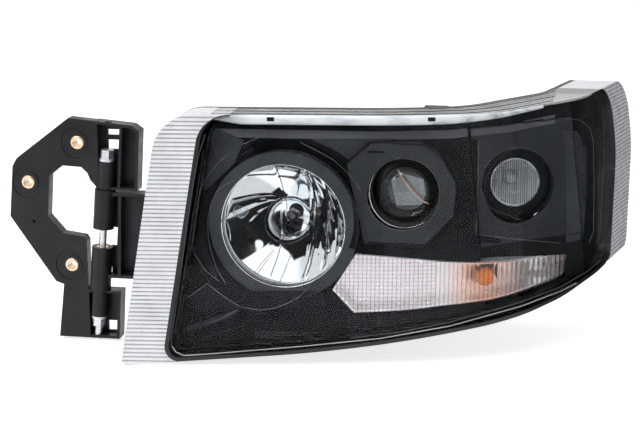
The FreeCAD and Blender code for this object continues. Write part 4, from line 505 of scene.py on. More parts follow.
def sweep(name, path, radius, finish, slot="mask_black", body="lamp", closed=False, sides=6,
          flat=1.0):
    """Bar along points; radius is in mm or a function of the share of the way."""
    vertices = []
    count = len(path)
    for index, point in enumerate(path):
        before = path[(index - 1) % count] if closed or index else path[index]
        after = path[(index + 1) % count] if closed or index < count - 1 else path[index]
        along = (after - before).normalized()
        across = along.cross(Vector((0, 0, 1)))
        if across.length < 0.05:
            across = along.cross(Vector((1, 0, 0)))
        across.normalize()
        upward = across.cross(along).normalized()
        here = (radius(index / (count - 1)) if callable(radius) else radius) * MM
        for k in range(sides):
            turn = 2 * math.pi * k / sides
            vertices.append(point + across * math.cos(turn) * here * flat
                            + upward * math.sin(turn) * here)
    add_piece(name, vertices, tube_faces(count, sides, closed), finish, body)


def arc(x, y, radius, start, end, count=90):
    """Points of a circular arc between two angles in degrees."""
    turns = [math.radians(start + (end - start) * k / (count - 1)) for k in range(count)]
    return [(x + radius * math.cos(turn), y + radius * math.sin(turn)) for turn in turns]


def dense(points, step=4.0):
    result = []
    for (x0, y0), (x1, y1) in zip(points, points[1:]):
        parts = max(1, int(math.hypot(x1 - x0, y1 - y0) / step))
        for k in range(parts):
            result.append((x0 + (x1 - x0) * k / parts, y0 + (y1 - y0) * k / parts))
    result.append(points[-1])
    return result


def level_at(course, place):
    """Second value of a polyline at a place of its first one."""
    for (x0, y0), (x1, y1) in zip(course, course[1:]):
        if place <= x1:
            return y0 + (y1 - y0) * (place - x0) / (x1 - x0)
    return course[-1][1]


def swapped(course):
    return [(y, x) for x, y in course]


def tree_of(*names):
    """Ray tester over the meshes of some CAD nodes."""
    vertices, faces = [], []
    for name in names:
        mesh = nodes[name].data
        start = len(vertices)
        vertices.extend(v.co.copy() for v in mesh.vertices)
        faces.extend(tuple(start + k for k in p.vertices) for p in mesh.polygons)
    return BVHTree.FromPolygons(vertices, faces)


AHEAD_Y = -0.3


def first_hit(tester, x, z):
    """Foremost point of the tested pieces at x and z."""
    return tester.ray_cast(Vector((x, AHEAD_Y, z)), Vector((0, 1, 0)))[0]


def pixel_sight(px, py):
    """Direction in which the camera looks through a pixel of the photograph."""
    across = (px - IMAGE_WIDTH / 2) * SENSOR / IMAGE_WIDTH
    upward = -(py - IMAGE_HEIGHT / 2) * SENSOR / IMAGE_WIDTH
    return (camera_right * across + camera_up * upward - camera_back * FOCAL).normalized()


def pixel_hit(tester, px, py):
    """Where the line of sight through a pixel meets the tested pieces."""
    return tester.ray_cast(CAMERA_PLACE, pixel_sight(px, py))[0]


def cast_path(tester, pixels):
    """Points of the tested pieces under a row of pixels."""
    hits = [pixel_hit(tester, px, py) for px, py in pixels]
    return [hit for hit in hits if hit is not None]


def forwards(path, distance):
    return [point - Vector((0, distance * MM, 0)) for point in path]


class Skin:
    """The lamp's front surface: one plan curve that leans with height."""

    lean_x, lean_y = -0.12, 0.07
    plan_start, plan_end, plan_step = 0.175, 0.604, 0.003

    def __init__(self):
        tester = tree_of("lens")
        self.plan = []
        self.insets = {}
        x = self.plan_start
        while x < self.plan_end:
            point = first_hit(tester, x, 0.0)
            if point is not None:
                self.plan.append((point.x, point.y))
            x += self.plan_step

    def moved(self, inset):
        """Plan curve moved rearwards by inset, square to itself."""
        points = []
        for index, (x, y) in enumerate(self.plan):
            x0, y0 = self.plan[max(index - 1, 0)]
            x1, y1 = self.plan[min(index + 1, len(self.plan) - 1)]
            heading = math.atan2(y1 - y0, x1 - x0)
            points.append((x - inset * math.sin(heading), y + inset * math.cos(heading)))
        return points

    def point(self, x, z, inset):
        """Point of the surface at x and z and an inset from its outside, in millimetres."""
        x, z, inset = x * MM, z * MM, inset * MM
        if inset not in self.insets:
            self.insets[inset] = self.moved(inset)
        points = self.insets[inset]
        level_x = x - self.lean_x * z
        for (x0, y0), (x1, y1) in zip(points, points[1:]):
            if x0 <= level_x <= x1:
                break
        share = (level_x - x0) / (x1 - x0)
        return Vector((x, y0 + (y1 - y0) * share + self.lean_y * z, z))


skin = Skin()


# ---- main lamp

MAIN_X, MAIN_Z = 278, -30
MAIN = Vector((MAIN_X * MM, 0, MAIN_Z * MM))
RIM_RADIUS = 63.6 * MM
RIM_MARGIN = 0.01 * MM
RIM_Y = -8.0 * MM
BOWL_RADIUS = 64 * MM
FOCUS = 18.5 * MM
VERTEX_Y = RIM_Y + BOWL_RADIUS * BOWL_RADIUS / (4 * FOCUS)
BULB_HOLE = 11.5 * MM
# Upright facets of the mirror, in millimetres: their edges, how far each swells forwards and how
# far one edge is raised (the right one where positive). Then the folds up the height of each.
FACET_EDGES = (-63.6, -14.5, 14.5, 21.0, 36.0, 49.0, 63.6)
FACET_SWELL = (0.0, 0.3, 0.5, 1.2, 1.4, 0.7)
FACET_RISE = (0.0, -0.12, 0.2, -0.16, 0.18, -0.08)
FACET_BANDS = (0, 0, 2, 3, 3, 2)
FACET_ROWS, FACET_COLUMNS = 97, 17
FACET_GAP = 0.35 * MM


def facet_points(index):
    """Points of one upright facet, laid just in front of the CAD bowl."""
    low, high = FACET_EDGES[index] * MM, FACET_EDGES[index + 1] * MM
    swell, rise = FACET_SWELL[index] * MM, FACET_RISE[index] * MM
    points = []
    for i in range(FACET_ROWS):
        v = -1 + 2 * i / (FACET_ROWS - 1)
        for j in range(FACET_COLUMNS):
            x = low + (high - low) * j / (FACET_COLUMNS - 1)
            x = min(max(x, -RIM_RADIUS + RIM_MARGIN), RIM_RADIUS - RIM_MARGIN)
            z = v * math.sqrt(RIM_RADIUS * RIM_RADIUS - x * x)
            u = 2 * (x - low) / (high - low) - 1
            fold = abs(math.sin(FACET_BANDS[index] * math.pi * (v + 0.13 * u + 0.1 * index)))
            hump = swell * (1 - u * u) * (0.6 + 0.5 * fold)
            hump *= 1 - max(0.0, abs(v) - 0.9) * 6
            edge = abs(rise) * (1 + u * (1 if rise > 0 else -1)) * (1 - abs(v) ** 6)
            bowl = VERTEX_Y - (x * x + z * z) / (4 * FOCUS)
            points.append(MAIN + Vector((x, bowl - FACET_GAP - max(hump, 0) - edge, z)))
    return points


def make_reflector():
    """Upright mirror facets, open where the bulb comes through."""
    vertices, faces = [], []
    for index in range(len(FACET_SWELL)):
        start = len(vertices)
        vertices += facet_points(index)
        for face in grid_faces(FACET_ROWS, FACET_COLUMNS, offset=start):
            middle = sum((vertices[k] for k in face), Vector()) / 4 - MAIN
            if math.hypot(middle.x, middle.z) > BULB_HOLE:
                faces.append(face)
    add_piece("reflector_facets", vertices, faces, "facet_mirror", "carrier")


KNURL_RIDGES = 220
# Bright rims of the opening: name, radius and y.
OPENING_RIMS = (("opening_rim_front", 63.7, -27.0), ("opening_rim_back", 63.2, -14.2))


def make_main_ring_details():
    """Knurled sleeve inside the ring's opening, with bright rims."""
    lathe("opening_knurl", [(63.4, y) for y in (-23.0, -21, -19, -17, -14.5)], MAIN,
          "knurl_silver", "lamp", 2 * KNURL_RIDGES, knurl=0.28)
    lathe("opening_gap", ((63.8, -26.4), (63.5, -23.0)), MAIN, "ridge_dark", "lamp",
          180)
    for name, radius, y in OPENING_RIMS:
        ring = [Vector((x, y, z)) * MM for x, z in arc(MAIN_X, MAIN_Z, radius, 0, 358, 180)]
        sweep(name, ring, 0.55, "mirror_coat", "mirror_coat", closed=True, sides=8)


# Main bulb's pieces: finish, slot, steps and half section (radius, distance behind MAIN) in mm.
BULB_PIECES = {
    "bulb_capsule": ("lamp_glass", "lamp_glass", 48, (
        (0.2, 19.5), (3.2, 20.2), (5.2, 22.4), (5.8, 26), (5.8, 46), (5.0, 50), (5.0, 52))),
    "bulb_tip": ("bulb_tip", "holder_resin", 48, (
        (0.1, 18.9), (3.4, 19.5), (5.7, 21.6), (6.1, 23), (5.9, 23.4))),
    "bulb_collar": ("holder_resin", "holder_resin", 64, (
        (6.4, 47.5), (8.8, 47.3), (11.2, 48.2), (11.9, 49.2), (11.9, 51.6))),
}


def make_main_bulb():
    """Glass capsule with a dark tip in a collar; the capsule stands for the CAD bulb's glass."""
    pieces = {name: lathe(name, profile, MAIN, finish, "main_bulb", steps)
              for name, (finish, slot, steps, profile) in BULB_PIECES.items()}
    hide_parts("main_bulb_glass")


# Seams between the mirror's upright facets, in pixels, and the y between which they show.
MIRROR_SEAMS = (
    ((275, 163), (281, 180), (286.5, 200), (288, 212), (285, 232), (278, 256), (269, 281)),
    ((306, 170), (312, 184), (316, 198), (316.5, 212), (313, 238), (308, 262), (300.5, 283)),
    ((309, 171), (315, 184), (319, 199), (319.5, 212), (316, 240), (311, 263), (304, 282)),
)
SEAM_FRONT, SEAM_BACK = -5 * MM, 46 * MM


def make_mirror_seams():
    tester = tree_of("main_reflector")
    for index, course in enumerate(MIRROR_SEAMS):
        path = [point for point in cast_path(tester, dense(course, 3.0))
                if SEAM_FRONT < point.y < SEAM_BACK]
        sweep(f"mirror_seam_{index}", forwards(path, 1.4), 0.4, "ridge_dark", "mirror_coat",
              "carrier")


# ---- projector and bracket

PROJECTOR = Vector((398 * MM, 0, 4 * MM))
# Y of the projector lens's rear face in millimetres, and how much the lens shrinks what it shows.
PROJECTOR_BACK = 15.4
LENS_POWER = 0.74
# Pixels of a copper streak that paints the coloured glint in the projector lens, and of a grey plate
# that paints a pale reflection in it.
GLINT_STREAK = ((397, 166), (401, 174), (409, 185.5), (418, 195.5), (425, 202), (433, 206))
REFLECTION_PLATE = ((390, 179), (404, 173), (425, 178), (427, 195), (423, 206), (396, 206))
REFLECTION_PLATE_THICKNESS = 0.6
# Painted glint on the projector's ring, a mirror arc laid only where the glint shows: middle and
# radius in pixels, first and last angle.
GLINT = (404.6, 192.6, 35.4, -148, -306)


def behind_projector(pixel, distance=0.0):
    """Place behind the projector lens that the lens shows at a pixel."""
    sight = pixel_sight(*pixel)
    far = CAMERA_PLACE + sight * ((PROJECTOR_BACK * MM - CAMERA_PLACE.y) / sight.y)
    return Vector((PROJECTOR.x + (far.x - PROJECTOR.x) * LENS_POWER,
                   (PROJECTOR_BACK + distance) * MM,
                   PROJECTOR.z + (far.z - PROJECTOR.z) * LENS_POWER))


def make_projector_details():
    """Painted glint streak, painted shade ring and painted reflection plate behind the projector
    lens, and a painted glint on its ring.
    """
    # Copper streak: painted glint of coloured light in the lens.
    sweep("projector_glint_streak", [behind_projector(pixel) for pixel in dense(GLINT_STREAK, 2.0)],
          lambda share: 0.5 + 1.1 * math.sin(math.pi * share), "glint_copper", "insert_brass",
          "carrier", sides=8, flat=0.6)
    # Dark ring behind the lens's outer zone: painted shade.
    lathe("projector_painted_shade", ((19.6, PROJECTOR_BACK + 1.2), (29.0, PROJECTOR_BACK + 0.9)),
          PROJECTOR, "shade_dark", "carrier", 120)
    # Grey plate where the lens shows a pale patch: painted reflection.
    corners = [behind_projector(pixel, 1.6) for pixel in REFLECTION_PLATE]
    corners += forwards(corners, -REFLECTION_PLATE_THICKNESS)
    count = len(REFLECTION_PLATE)
    faces = [tuple(range(count)), tuple(reversed(range(count, 2 * count)))]
    for k in range(count):
        after = (k + 1) % count
        faces.append((after, k, k + count, after + count))
    add_piece("projector_reflection_plate", corners, faces, "reflection_grey", "carrier",
              smooth=False)
    tester = tree_of("projector_trim_ring", "projector_bezel", "projector_lens_holder")
    # Mirror arc along the ring where its glint shows: painted highlight.
    sweep("projector_ring_glint", cast_path(tester, arc(*GLINT, 80)),
          lambda share: 0.12 + 0.75 * math.sin(math.pi * share), "mirror_coat", "mirror_coat",
          sides=8)


# X and z of the bracket's bushes and of its small hole.
BUSH_PLACES = ((0.0, 0.0), (55.0, 44.0), (45.0, -87.7))
DRAIN_PLACE = (5.0, -42.0)
BUSH_RIM = ((4.4, 1.0), (4.5, -0.3), (5.0, -0.6), (6.4, -0.6), (6.9, -0.2), (6.9, 0.4))
DRAIN_PLUG = ((0.05, 2.5), (1.6, 2.5), (1.6, 3.5))


def make_bracket_details():
    """Clean rims on the brass bushes, and a recessed plug in the small hole."""
    for index, (x, z) in enumerate(BUSH_PLACES):
        lathe(f"bush_rim_{index}", BUSH_RIM, Vector((x, 0, z)) * MM, "insert_brass",
              "bracket", 72)
    x, z = DRAIN_PLACE
    lathe("drain_plug", DRAIN_PLUG, Vector((x, 0, z)) * MM, "cap_rubber", "bracket",
          32)


# ---- indicator

# Upper and lower edge of the indicator's cover: x and z.
TOP_EDGE = ((328, -95.7), (351, -58.5), (405, -63), (437, -67), (491, -71.5), (537, -77.7),
            (560, -80))
BOTTOM_EDGE = ((328, -95.7), (350, -119), (406, -115.5), (438, -112), (491, -108.5),
               (525, -106.5), (558, -103.7), (560, -103.5))
COVER_FROM, COVER_TO, COVER_STEP = 328.4, 559.6, 0.72
COVER_ROWS = 54
COVER_THICKNESS = 2.0
COVER_INSET = 21
PYRAMID_DEPTH, FLUTE_DEPTH = 0.5, 0.95


def prism_depth(x, z):
    """Depth of the prism at a place of the cover, all in millimetres."""
    column = (x * MM - GRID_START) / COLUMN_PITCH % 1.0
    if x * MM >= GRID_END:
        return FLUTE_DEPTH * math.sqrt(max(0.0, 1 - (2 * column - 1) ** 2))
    row = (z * MM - ROW_START) / ROW_PITCH % 1.0
    return PYRAMID_DEPTH * min(1 - abs(2 * column - 1), 1 - abs(2 * row - 1))


def make_indicator():
    """Clear cover with fields of small pyramids and of upright flutes."""
    plate_front = tree_of("indicator_lens")
    columns = []
    x = COVER_FROM
    while x < COVER_TO:
        columns.append(x)
        x += COVER_STEP
    rows = COVER_ROWS
    front, rear = [], []
    for x in columns:
        top, bottom = level_at(TOP_EDGE, x), level_at(BOTTOM_EDGE, x)
        levels = [bottom + (top - bottom) * j / (rows - 1) for j in range(rows)]
        for j, z in enumerate(levels):
            point = first_hit(plate_front, x * MM, levels[min(max(j, 1), rows - 2)] * MM)
            if point is None:
                point = skin.point(x, z, COVER_INSET)
            depth = (COVER_THICKNESS + prism_depth(x, z)) * MM
            front.append(Vector((x * MM, point.y, z * MM)))
            rear.append(Vector((x * MM, point.y + depth, z * MM)))
    count = len(columns)
    total = count * rows
    faces = grid_faces(count, rows, flip=True) + grid_faces(count, rows, offset=total)
    rim = [i * rows for i in range(count)]
    rim += [(count - 1) * rows + j for j in range(1, rows)]
    rim += [i * rows + rows - 1 for i in range(count - 2, -1, -1)]
    rim += list(range(rows - 2, 0, -1))
    for a, b in zip(rim, rim[1:] + rim[:1]):
        faces.append((a, b, b + total, a + total))
    cover = add_piece("indicator_prisms", front + rear, faces, "indicator_clear",
                      smooth=False)
    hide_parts("indicator_lens")


# ---- top of the lens

BAR_FROM, BAR_TO = 208, 531
BAR_LEVEL = 79.4
BAR_HEIGHT = 4.9
BAR_DEPTH = 2.4
BAR_INSET = 6.4
BAR_COUNT, BAR_SIDES = 150, 12
CLIP_LEVEL = 80.4
CLIP_INSET = 3.9
BAR_CLIPS = {"bar_clip_inner": 267.0, "bar_clip_outer": 425.0}
LENS_TOP = 85.0
RIDGE_FROM, RIDGE_TO, RIDGE_COUNT = 207, 540, 120
RIDGE_INSETS = (7.0, 15.0, 24.0, 33.0, 41.0)


def make_top_bar():
    """Pale light bar behind the top of the lens, tapering at both ends."""
    vertices = []
    for index in range(BAR_COUNT):
        share = index / (BAR_COUNT - 1)
        x = BAR_FROM + (BAR_TO - BAR_FROM) * share
        fullness = 1 - 0.7 * max(0.0, share - 0.72) / 0.28
        fullness *= 0.35 + 0.65 * min(1.0, share / 0.09)
        middle = BAR_LEVEL + (1 - fullness) * 2.4
        for k in range(BAR_SIDES):
            turn = 2 * math.pi * k / BAR_SIDES
            level = middle + BAR_HEIGHT * fullness * math.sin(turn)
            inset = BAR_INSET - BAR_DEPTH * math.cos(turn)
            vertices.append(skin.point(x, level, inset))
    add_piece("top_light_bar", vertices, tube_faces(BAR_COUNT, BAR_SIDES), "bar_white")
    for name, x in BAR_CLIPS.items():
        path = [skin.point(x + dx, CLIP_LEVEL, CLIP_INSET) for dx in (-3.5, -1, 1, 3.5)]
        sweep(name, path, 2.3, "mask_black", flat=0.25)


def make_lens_ridges():
    """Fine ridges along the lens's level top face."""
    looks = (("ridge_dark", "seal_black"), ("ridge_pale", "clear_cover"))
    for index, inset in enumerate(RIDGE_INSETS):
        path = []
        for k in range(RIDGE_COUNT):
            x = RIDGE_FROM + (RIDGE_TO - RIDGE_FROM) * k / (RIDGE_COUNT - 1)
            path.append(skin.point(x, LENS_TOP, inset))
        sweep(f"lens_top_ridge_{index}", path, 0.45, *looks[index % 2])


# ---- mask

# Raised edges that divide the mask into facets: x and z.
MASK_LINES = {
    "mask_arc_outer": arc(276, -28, 96, 118, 262),
    "mask_arc_inner": arc(278, -30, 83, 96, 318),
    "mask_crease_low": [(192, -131), (214, -118), (246, -104), (262, -114), (344, -118)],
    "mask_crease_foot": [(186, -150), (232, -137), (262, -115)],
    "mask_crease_top": [(252, 66), (236, 48), (212, 36), (196, 8)],
    "mask_crease_right": [(470, -52), (520, -52), (565, -44), (577, -34)],
}
MASK_CARRIERS = ("bezel", "main_bezel_ring", "cornering_panel", "projector_bezel")


def make_mask_lines():
    tester = tree_of(*MASK_CARRIERS)
    for name, points in MASK_LINES.items():
        hits = [first_hit(tester, x * MM, z * MM) for x, z in dense(points)]
        path = forwards([hit for hit in hits if hit is not None], 0.05)
        sweep(name, path, 0.42, "mask_edge")


PLATE_FOLD = 5.0 * MM
INWARDS = 0.9
SIGHT_STEP = 0.05 * MM
LENS_WALLS = 6


def side_wall_hit(tester, px, py):
    """Where the line of sight through a pixel meets the inside of the lens's inner side wall."""
    sight = pixel_sight(px, py)
    start = CAMERA_PLACE
    for wall in range(LENS_WALLS):
        point, normal, index, distance = tester.ray_cast(start, sight)
        if point is None:
            return None
        if normal.x > INWARDS:
            return point
        start = point + sight * SIGHT_STEP
    return None


def plate(name, grid, tester, finish, tilt=0.0, lift=0.45, foot=-0.2, find=pixel_hit,
          outwards=(0, -1, 0)):
    """Thin plate on a surface under rows of pixels, open where it would bridge a step.

    Lift and foot place its face and rear outwards of the surface, and tilt raises the far
    end of each row, all in millimetres.
    """
    outwards = Vector(outwards)
    rows, columns = len(grid), len(grid[0])
    front, rear, hits = [], [], []
    for line in grid:
        for index, (px, py) in enumerate(line):
            hit = find(tester, px, py)
            hits.append(hit)
            point = hit or MAIN
            raised = lift + tilt * index / (columns - 1)
            front.append(point + outwards * raised * MM)
            rear.append(point + outwards * foot * MM)
    kept = []
    for face in grid_faces(rows, columns):
        depths = [hits[k].y for k in face if hits[k] is not None]
        if len(depths) == 4 and max(depths) - min(depths) < PLATE_FOLD:
            kept.append(face)
    total = rows * columns
    faces = kept + [tuple(k + total for k in reversed(face)) for face in kept]
    sides = {(a, b) for face in kept for a, b in zip(face, face[1:] + face[:1])}
    for a, b in sorted(sides):
        if (b, a) not in sides:
            faces.append((b, a, a + total, b + total))
    used = sorted({k for face in faces for k in face})
    place = {k: index for index, k in enumerate(used)}
    every = front + rear
    add_piece(name, [every[k] for k in used], [tuple(place[k] for k in face) for face in faces],
              finish, smooth=False)


GRID_STEP = 1.1


def between(left, right, columns=22):
    """Grid of pixels between a left and a right polyline that both run down the image."""
    top, bottom = left[0][1], left[-1][1]
    rows = max(3, int((bottom - top) / GRID_STEP))
    grid = []
    for i in range(rows):
        level = top + (bottom - top) * i / (rows - 1)
        start, end = level_at(swapped(left), level), level_at(swapped(right), level)
        grid.append([(start + (end - start) * j / (columns - 1), level) for j in range(columns)])
    return grid


BAND_COLUMNS = 10
BAND_STEP = 1.5


def ring_sector(centre_x, centre_y, inner, outer, start, end):
    """Grid of pixels in a band round a circle of the image; angles run anticlockwise."""
    rows = int(abs(end - start) / BAND_STEP)
    radii = [inner + (outer - inner) * j / (BAND_COLUMNS - 1) for j in range(BAND_COLUMNS)]
    grid = []
    for i in range(rows):
        turn = math.radians(start + (end - start) * i / (rows - 1))
        grid.append([(centre_x + math.cos(turn) * radius, centre_y - math.sin(turn) * radius)
                     for radius in radii])
    return grid


# Plates laid like facets over the mask, each raised a little at its far edge, whose lighter and
# darker greys are painted light and shade: finish, how far the far edge rises (mm), left and right
# edge in pixels.
MASK_FACETS = {
    "facet_top_left": ("painted_light_ring", 0.8, ((212, 128), (204, 148), (197, 180), (193.5, 201)),
        ((214, 128), (244, 140), (235, 163), (206, 190), (194.5, 201))),
    "facet_crescent": ("painted_light_mid", 0.6, (
        (204.3, 191), (193, 203), (189, 219), (191, 233.5), (200, 256), (214.5, 277)),
        ((206, 191), (202, 205), (201, 219), (203.5, 233.5), (210.4, 254), (216.5, 277))),
    "facet_low_triangle": ("painted_light_mid", 0.9, ((207.3, 284.5), (177.8, 309)),
        ((207.8, 284.5), (241, 309))),
    "facet_low_blade": ("painted_light_pale", 0.8, ((240.5, 308.3), (173.7, 331.4), (173.7, 334.5)),
        ((241.5, 308.3), (230.8, 317.6), (176, 334.5))),
    "facet_under_ring": ("painted_light_mid", 0.5, ((243, 290.6), (245, 311)),
        ((320.6, 290.6), (324.7, 305), (254, 311))),
    # Dark plate where a deep pocket lies in shadow: painted shadow.
    "facet_dark_column": ("shade_dark", 0.0, ((461, 139.5), (459, 166), (461, 185), (465, 204)),
        ((479, 139.5), (478, 180), (476, 204))),
    "facet_middle_top": ("painted_light_ring", 0.2, ((310, 138.5), (322, 144), (337, 151), (352, 162)),
        ((400, 138.5), (372, 144), (364, 151), (357, 162))),
    # Dark plate along the panel's foot: painted shade.
    "panel_foot_shade": ("shade_dark", 0.0, ((479, 233), (479, 243)), ((479.5, 233), (560, 243))),
    "facet_outer_wall": ("plate_grey", 0.0, ((595, 128), (597, 160), (597, 230), (596, 244)),
        ((610, 128), (611, 160), (611, 230), (607, 244))),
    "facet_panel_light": ("painted_light_ring", 1.2, ((562, 131), (564, 140), (566, 190), (566, 242)),
        ((577, 131), (586, 146), (587, 190), (583, 238), (572, 242))),
}
# Upper edge of a lighter band of painted light on the shoulder under the light bar, its height and
# its grid, in pixels.
SHOULDER_TOP = ((215, 128.5), (300, 130), (380, 131.5), (450, 130), (510, 123.5), (555, 114.5))
SHOULDER_HEIGHT = 8.5
SHOULDER_ROWS, SHOULDER_COLUMNS = 110, 6
# Bands of painted shade round the main ring and the cornering lamp's tube: middle and radii in
# pixels, angles.
MAIN_BAND = (282.0, 220.5, 72.0, 82.0, 112, -22)
CORNERING_BAND = (517.6, 184.5, 28.5, 35.5, 0, 360)
# Left and right edge of a grey plate of painted light on the lens's inner side wall, in pixels.
SIDE_WALL = (((208, 131), (200, 150), (192.5, 200), (184.5, 260), (178, 306), (174, 336)),
             ((219, 131), (213, 150), (204, 200), (196, 260), (188, 306), (182, 336)))


def make_mask_facets():
    """Plates of painted light and shade over the mask."""
    tester = tree_of("bezel", "cornering_panel", "main_bezel_ring")
    for name, (finish, tilt, left, right) in MASK_FACETS.items():
        plate(name, between(left, right), tester, finish, tilt)
    plate("side_wall_light", between(*SIDE_WALL, columns=14), tree_of("lens"), "plate_grey",
          lift=0.8, foot=0.2, find=side_wall_hit, outwards=(1, 0, 0))
    plate("cornering_ring_shade", ring_sector(*CORNERING_BAND), tester, "shade_dark")
    plate("ring_band_shade", ring_sector(*MAIN_BAND), tester, "shade_dark")
    first, last = SHOULDER_TOP[0][0], SHOULDER_TOP[-1][0]
    shoulder = []
    for k in range(SHOULDER_ROWS):
        px = first + (last - first) * k / (SHOULDER_ROWS - 1)
        top = level_at(SHOULDER_TOP, px)
        shoulder.append([(px, top + SHOULDER_HEIGHT * j / (SHOULDER_COLUMNS - 1))
                         for j in range(SHOULDER_COLUMNS)])
    plate("shoulder_light", shoulder, tester, "painted_light_shoulder")


# Fine edges, the lens's foot and inner lines among them painted highlights: pieces they lie on,
# finish, half width (mm) and course in pixels.
EDGE_LINES = {
    # Pale line along the lens's rounded foot edge: painted highlight.
    "lens_foot_line": (("lens",), "highlight_pale", 0.5, (
        (172, 346), (176, 352), (184, 355.5), (208, 354), (300, 346.5), (380, 338.5), (450, 326),
        (520, 306.5), (560, 291.5), (590, 276), (602, 267))),
    "lens_foot_line_upper": (("lens",), "line_grey", 0.35, (
        (350, 338), (400, 332), (450, 322), (520, 302.5), (560, 287), (588, 271), (600, 261))),
    # Grey line along the lens's inner edge: painted highlight.
    "lens_inner_highlight": (("lens",), "line_grey", 0.3, (
        (205.5, 134), (198.5, 155), (190.5, 200), (182.5, 260), (175.5, 310), (171, 338),
        (172, 346))),
    "panel_corner_line": (("bezel", "lens"), "line_grey", 0.35, (
        (560, 118), (580, 120), (590, 128), (593.5, 142), (594, 190), (593.5, 232), (589, 242))),
    # Dark lines along the projector plate's edge and slot: painted shade in the gaps.
    "projector_plate_edge": (("projector_bezel", "bezel"), "shade_dark", 0.6, (
        (364, 150.5), (371, 142.8), (420, 144.8), (433, 150.5), (446, 163), (455, 181), (457, 200),
        (452, 220), (440, 236), (426, 245), (368, 242.5))),
    "projector_plate_slot": (("projector_bezel",), "shade_dark", 0.9, (
        (368, 151.8), (384, 151.8))),
    "cornering_ring_line": (("cornering_panel", "bezel"), "line_grey", 0.25,
        arc(517.6, 184.5, 37.2, 0, -360, 72)),
}
# Fine edges on the mask's plates: half width (mm) and course in pixels.
PLATE_LINES = {
    "arc_line_outer": (0.36, (
        (258, 138), (243, 144), (229, 153), (215, 166), (205, 180), (196, 200), (190.5, 223),
        (191, 240), (195, 254), (205, 270), (219, 281))),
    "arc_line_inner": (0.33, (
        (236, 180), (226, 184), (217, 191), (211, 204), (208, 220), (208.5, 238), (212, 254),
        (217, 269), (225.5, 283))),
    "arc_line_right": (0.36, (
        (300, 142), (320, 152), (334, 160), (345, 170), (354, 180), (361, 190))),
    "arc_line_foot": (0.36, (
        (241, 307), (260, 310), (275, 308), (288, 303), (300, 296), (309, 286), (315, 273),
        (318, 262))),
    "crease_line_left": (0.36, (
        (173, 308), (190, 296), (207.5, 283.5), (222, 295), (240, 306.5))),
    "crease_line_foot": (0.36, ((200, 327), (222, 318), (240, 308))),
    "column_line": (0.33, ((478.5, 140), (478, 180), (476, 232))),
    "panel_foot_line": (0.33, ((476, 234), (510, 238.5), (560, 243))),
}
EDGE_LIFT, PLATE_LINE_LIFT = 0.15, 0.7


def make_edge_lines():
    for name, (carriers, finish, half, course) in EDGE_LINES.items():
        path = cast_path(tree_of(*carriers), dense(course, 3.0))
        sweep(name, forwards(path, EDGE_LIFT), half, finish)
    tester = tree_of(*MASK_CARRIERS)
    for name, (half, course) in PLATE_LINES.items():
        path = cast_path(tester, dense(course, 3.0))
        sweep(name, forwards(path, PLATE_LINE_LIFT), half, "line_mid")


STUD_SIZE = 1.15
STUD_HEIGHT = 0.9
STUD_SINK = 0.1


def stud_places():
    """X and z, in millimetres, of the studs of both fields."""
    for row in range(7):
        for column in range(44):
            x = 344 + 2.75 * column + 1.3 * (row % 2)
            yield x, -124.5 - 2.6 * row + 0.055 * (x - 344)
    for row in range(4):
        for column in range(26):
            yield 250 + 2.8 * column + 1.4 * (row % 2), -142 - 2.6 * row + 0.02 * column


def make_studs():
    """Fields of small pyramids moulded in the mask below the lamps."""
    tester = tree_of("bezel")
    vertices, faces = [], []
    for x, z in stud_places():
        hit = first_hit(tester, x * MM, z * MM)
        if hit is None:
            continue
        start = len(vertices)
        for dx, dz in ((-1, -1), (1, -1), (1, 1), (-1, 1)):
            vertices.append(Vector(((x + dx * STUD_SIZE) * MM, hit.y + STUD_SINK * MM,
                                    (z + dz * STUD_SIZE) * MM)))
        vertices.append(Vector((x * MM, hit.y - STUD_HEIGHT * MM, z * MM)))
        for k in range(4):
            faces.append((start + k, start + (k + 1) % 4, start + 4))
    add_piece("mask_studs", vertices, faces, "mask_edge", smooth=False)


make_reflector()
make_main_ring_details()
make_main_bulb()
make_projector_details()
make_bracket_details()
make_indicator()
make_top_bar()
make_lens_ridges()
make_mask_lines()
make_mask_facets()
make_edge_lines()
make_mirror_seams()
make_studs()


# ---- light and camera

def make_world():
    """Soft pale light, and plain white where camera, mirrors and glass look."""
    world = bpy.data.worlds.new("studio")
    bpy.context.scene.world = world
    tree = Tree(world, "OutputWorld")
    plain = tree.add("Background", {"Color": (0.93, 0.95, 1.0, 1), "Strength": 0.38})
    white = tree.add("Background", {"Color": (1, 1, 1, 1), "Strength": 1.0})
    tree.finish(tree.mix(tree.seen(), plain.outputs[0], white.outputs[0]))


FLOOR_LIFT = 0.74
FLOOR_DROP = 0.4 * MM


def make_floor():
    """Wide pale floor that reads white where it is seen, and takes shadows."""
    tree = new_tree("floor")
    paper = tree.clouds(3.0, 3.0, (0.84, 0.84, 0.84), (0.87, 0.87, 0.87))
    paper = tree.add("BsdfDiffuse", {"Color": paper})
    glow = tree.add("Emission", {"Strength": tree.math("MULTIPLY", tree.seen(), FLOOR_LIFT)})
    both = tree.add("AddShader", {0: paper.outputs["BSDF"], 1: glow.outputs["Emission"]})
    level = cad_box[0][2] - FLOOR_DROP
    corners = [(-9, -6, level), (10, -6, level), (10, 14, level), (-9, 14, level)]
    material = tree.finish(both.outputs["Shader"])
    mesh_object("floor", corners, [(0, 1, 2, 3)], material)
    return level


def dark_card(name, corners, low=0.015, high=0.015, low_z=-1.0, high_z=1.0):
    """Dark studio flag that only mirrors see; its grey goes from low to high between two heights."""
    tree = new_tree(name)
    share = tree.spread(tree.split()["Z"], 0.0, 1.0, low_z, high_z)
    grey = tree.ramp(share, (0.0, (low, low, low)), (1.0, (high, high, high)))
    material = tree.finish(tree.add("Emission", {"Color": grey}).outputs["Emission"])
    card = mesh_object(name, corners, [tuple(range(len(corners)))], material)
    for kind in ("camera", "diffuse", "transmission", "shadow"):
        setattr(card, "visible_" + kind, False)


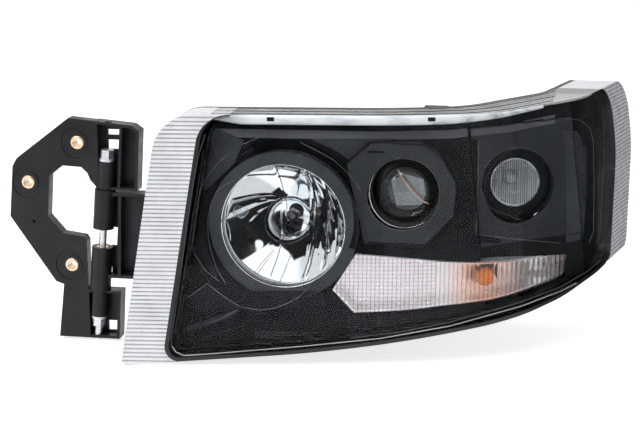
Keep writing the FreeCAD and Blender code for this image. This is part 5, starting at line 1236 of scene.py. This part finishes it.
def soft_box(name, place, width, height, power):
    """Large soft lamp that faces the middle of the headlight."""
    data = bpy.data.lights.new(name, "AREA")
    data.shape = "RECTANGLE"
    data.size = width
    data.size_y = height
    data.energy = power
    lamp = bpy.data.objects.new(name, data)
    lamp.location = place
    lamp.rotation_euler = (LIT_PLACE - Vector(place)).to_track_quat("-Z", "Y").to_euler()
    bpy.context.scene.collection.objects.link(lamp)


make_world()
floor_level = make_floor()
floor_flag = floor_level + 3 * MM
# The flags in front of the lamp: their y, and the x where the second one takes over.
FLAG_Y, FLAG_X = -1.2, 0.278
dark_card("flag_side", [
    (1.25, 0.1, floor_level), (1.5, 3.4, floor_level), (1.5, 3.4, 0.9), (1.25, 0.1, 0.9),
], 0.02, 0.22, -0.1, 0.9)
dark_card("flag_floor_side", [
    (0.66, 0.05, floor_flag), (1.6, -0.1, floor_flag), (1.6, 3.4, floor_flag),
    (0.66, 3.4, floor_flag),
], 0.05, 0.05)
dark_card("flag_left", [
    (-0.56, FLAG_Y, floor_level), (FLAG_X, FLAG_Y, floor_level), (FLAG_X, FLAG_Y, 1.15),
    (-0.56, FLAG_Y, 1.15),
])
dark_card("flag_middle", [
    (FLAG_X, FLAG_Y, floor_level), (0.6, FLAG_Y, floor_level), (0.6, FLAG_Y, 0.17),
    (0.46, FLAG_Y, 0.17), (0.46, FLAG_Y, 0.62), (FLAG_X, FLAG_Y, 0.62),
])
LIT_PLACE = Vector((0.3, 0.0, -0.03))
soft_box("key", (-0.7, -1.6, 1.5), 1.1, 1.1, 31)
soft_box("fill", (1.9, -1.1, 0.6), 1.0, 1.2, 2.5)
soft_box("top", (0.1, 0.0, 1.7), 1.2, 0.8, 10)

camera_data = bpy.data.cameras.new("camera")
camera_data.lens = FOCAL
camera_data.sensor_width = SENSOR
camera = bpy.data.objects.new("camera", camera_data)
camera.location = CAMERA_PLACE
camera.rotation_euler = (-camera_back).to_track_quat("-Z", "Y").to_euler()
bpy.context.scene.collection.objects.link(camera)
bpy.context.scene.camera = camera
bpy.context.scene.view_settings.view_transform = "Standard"
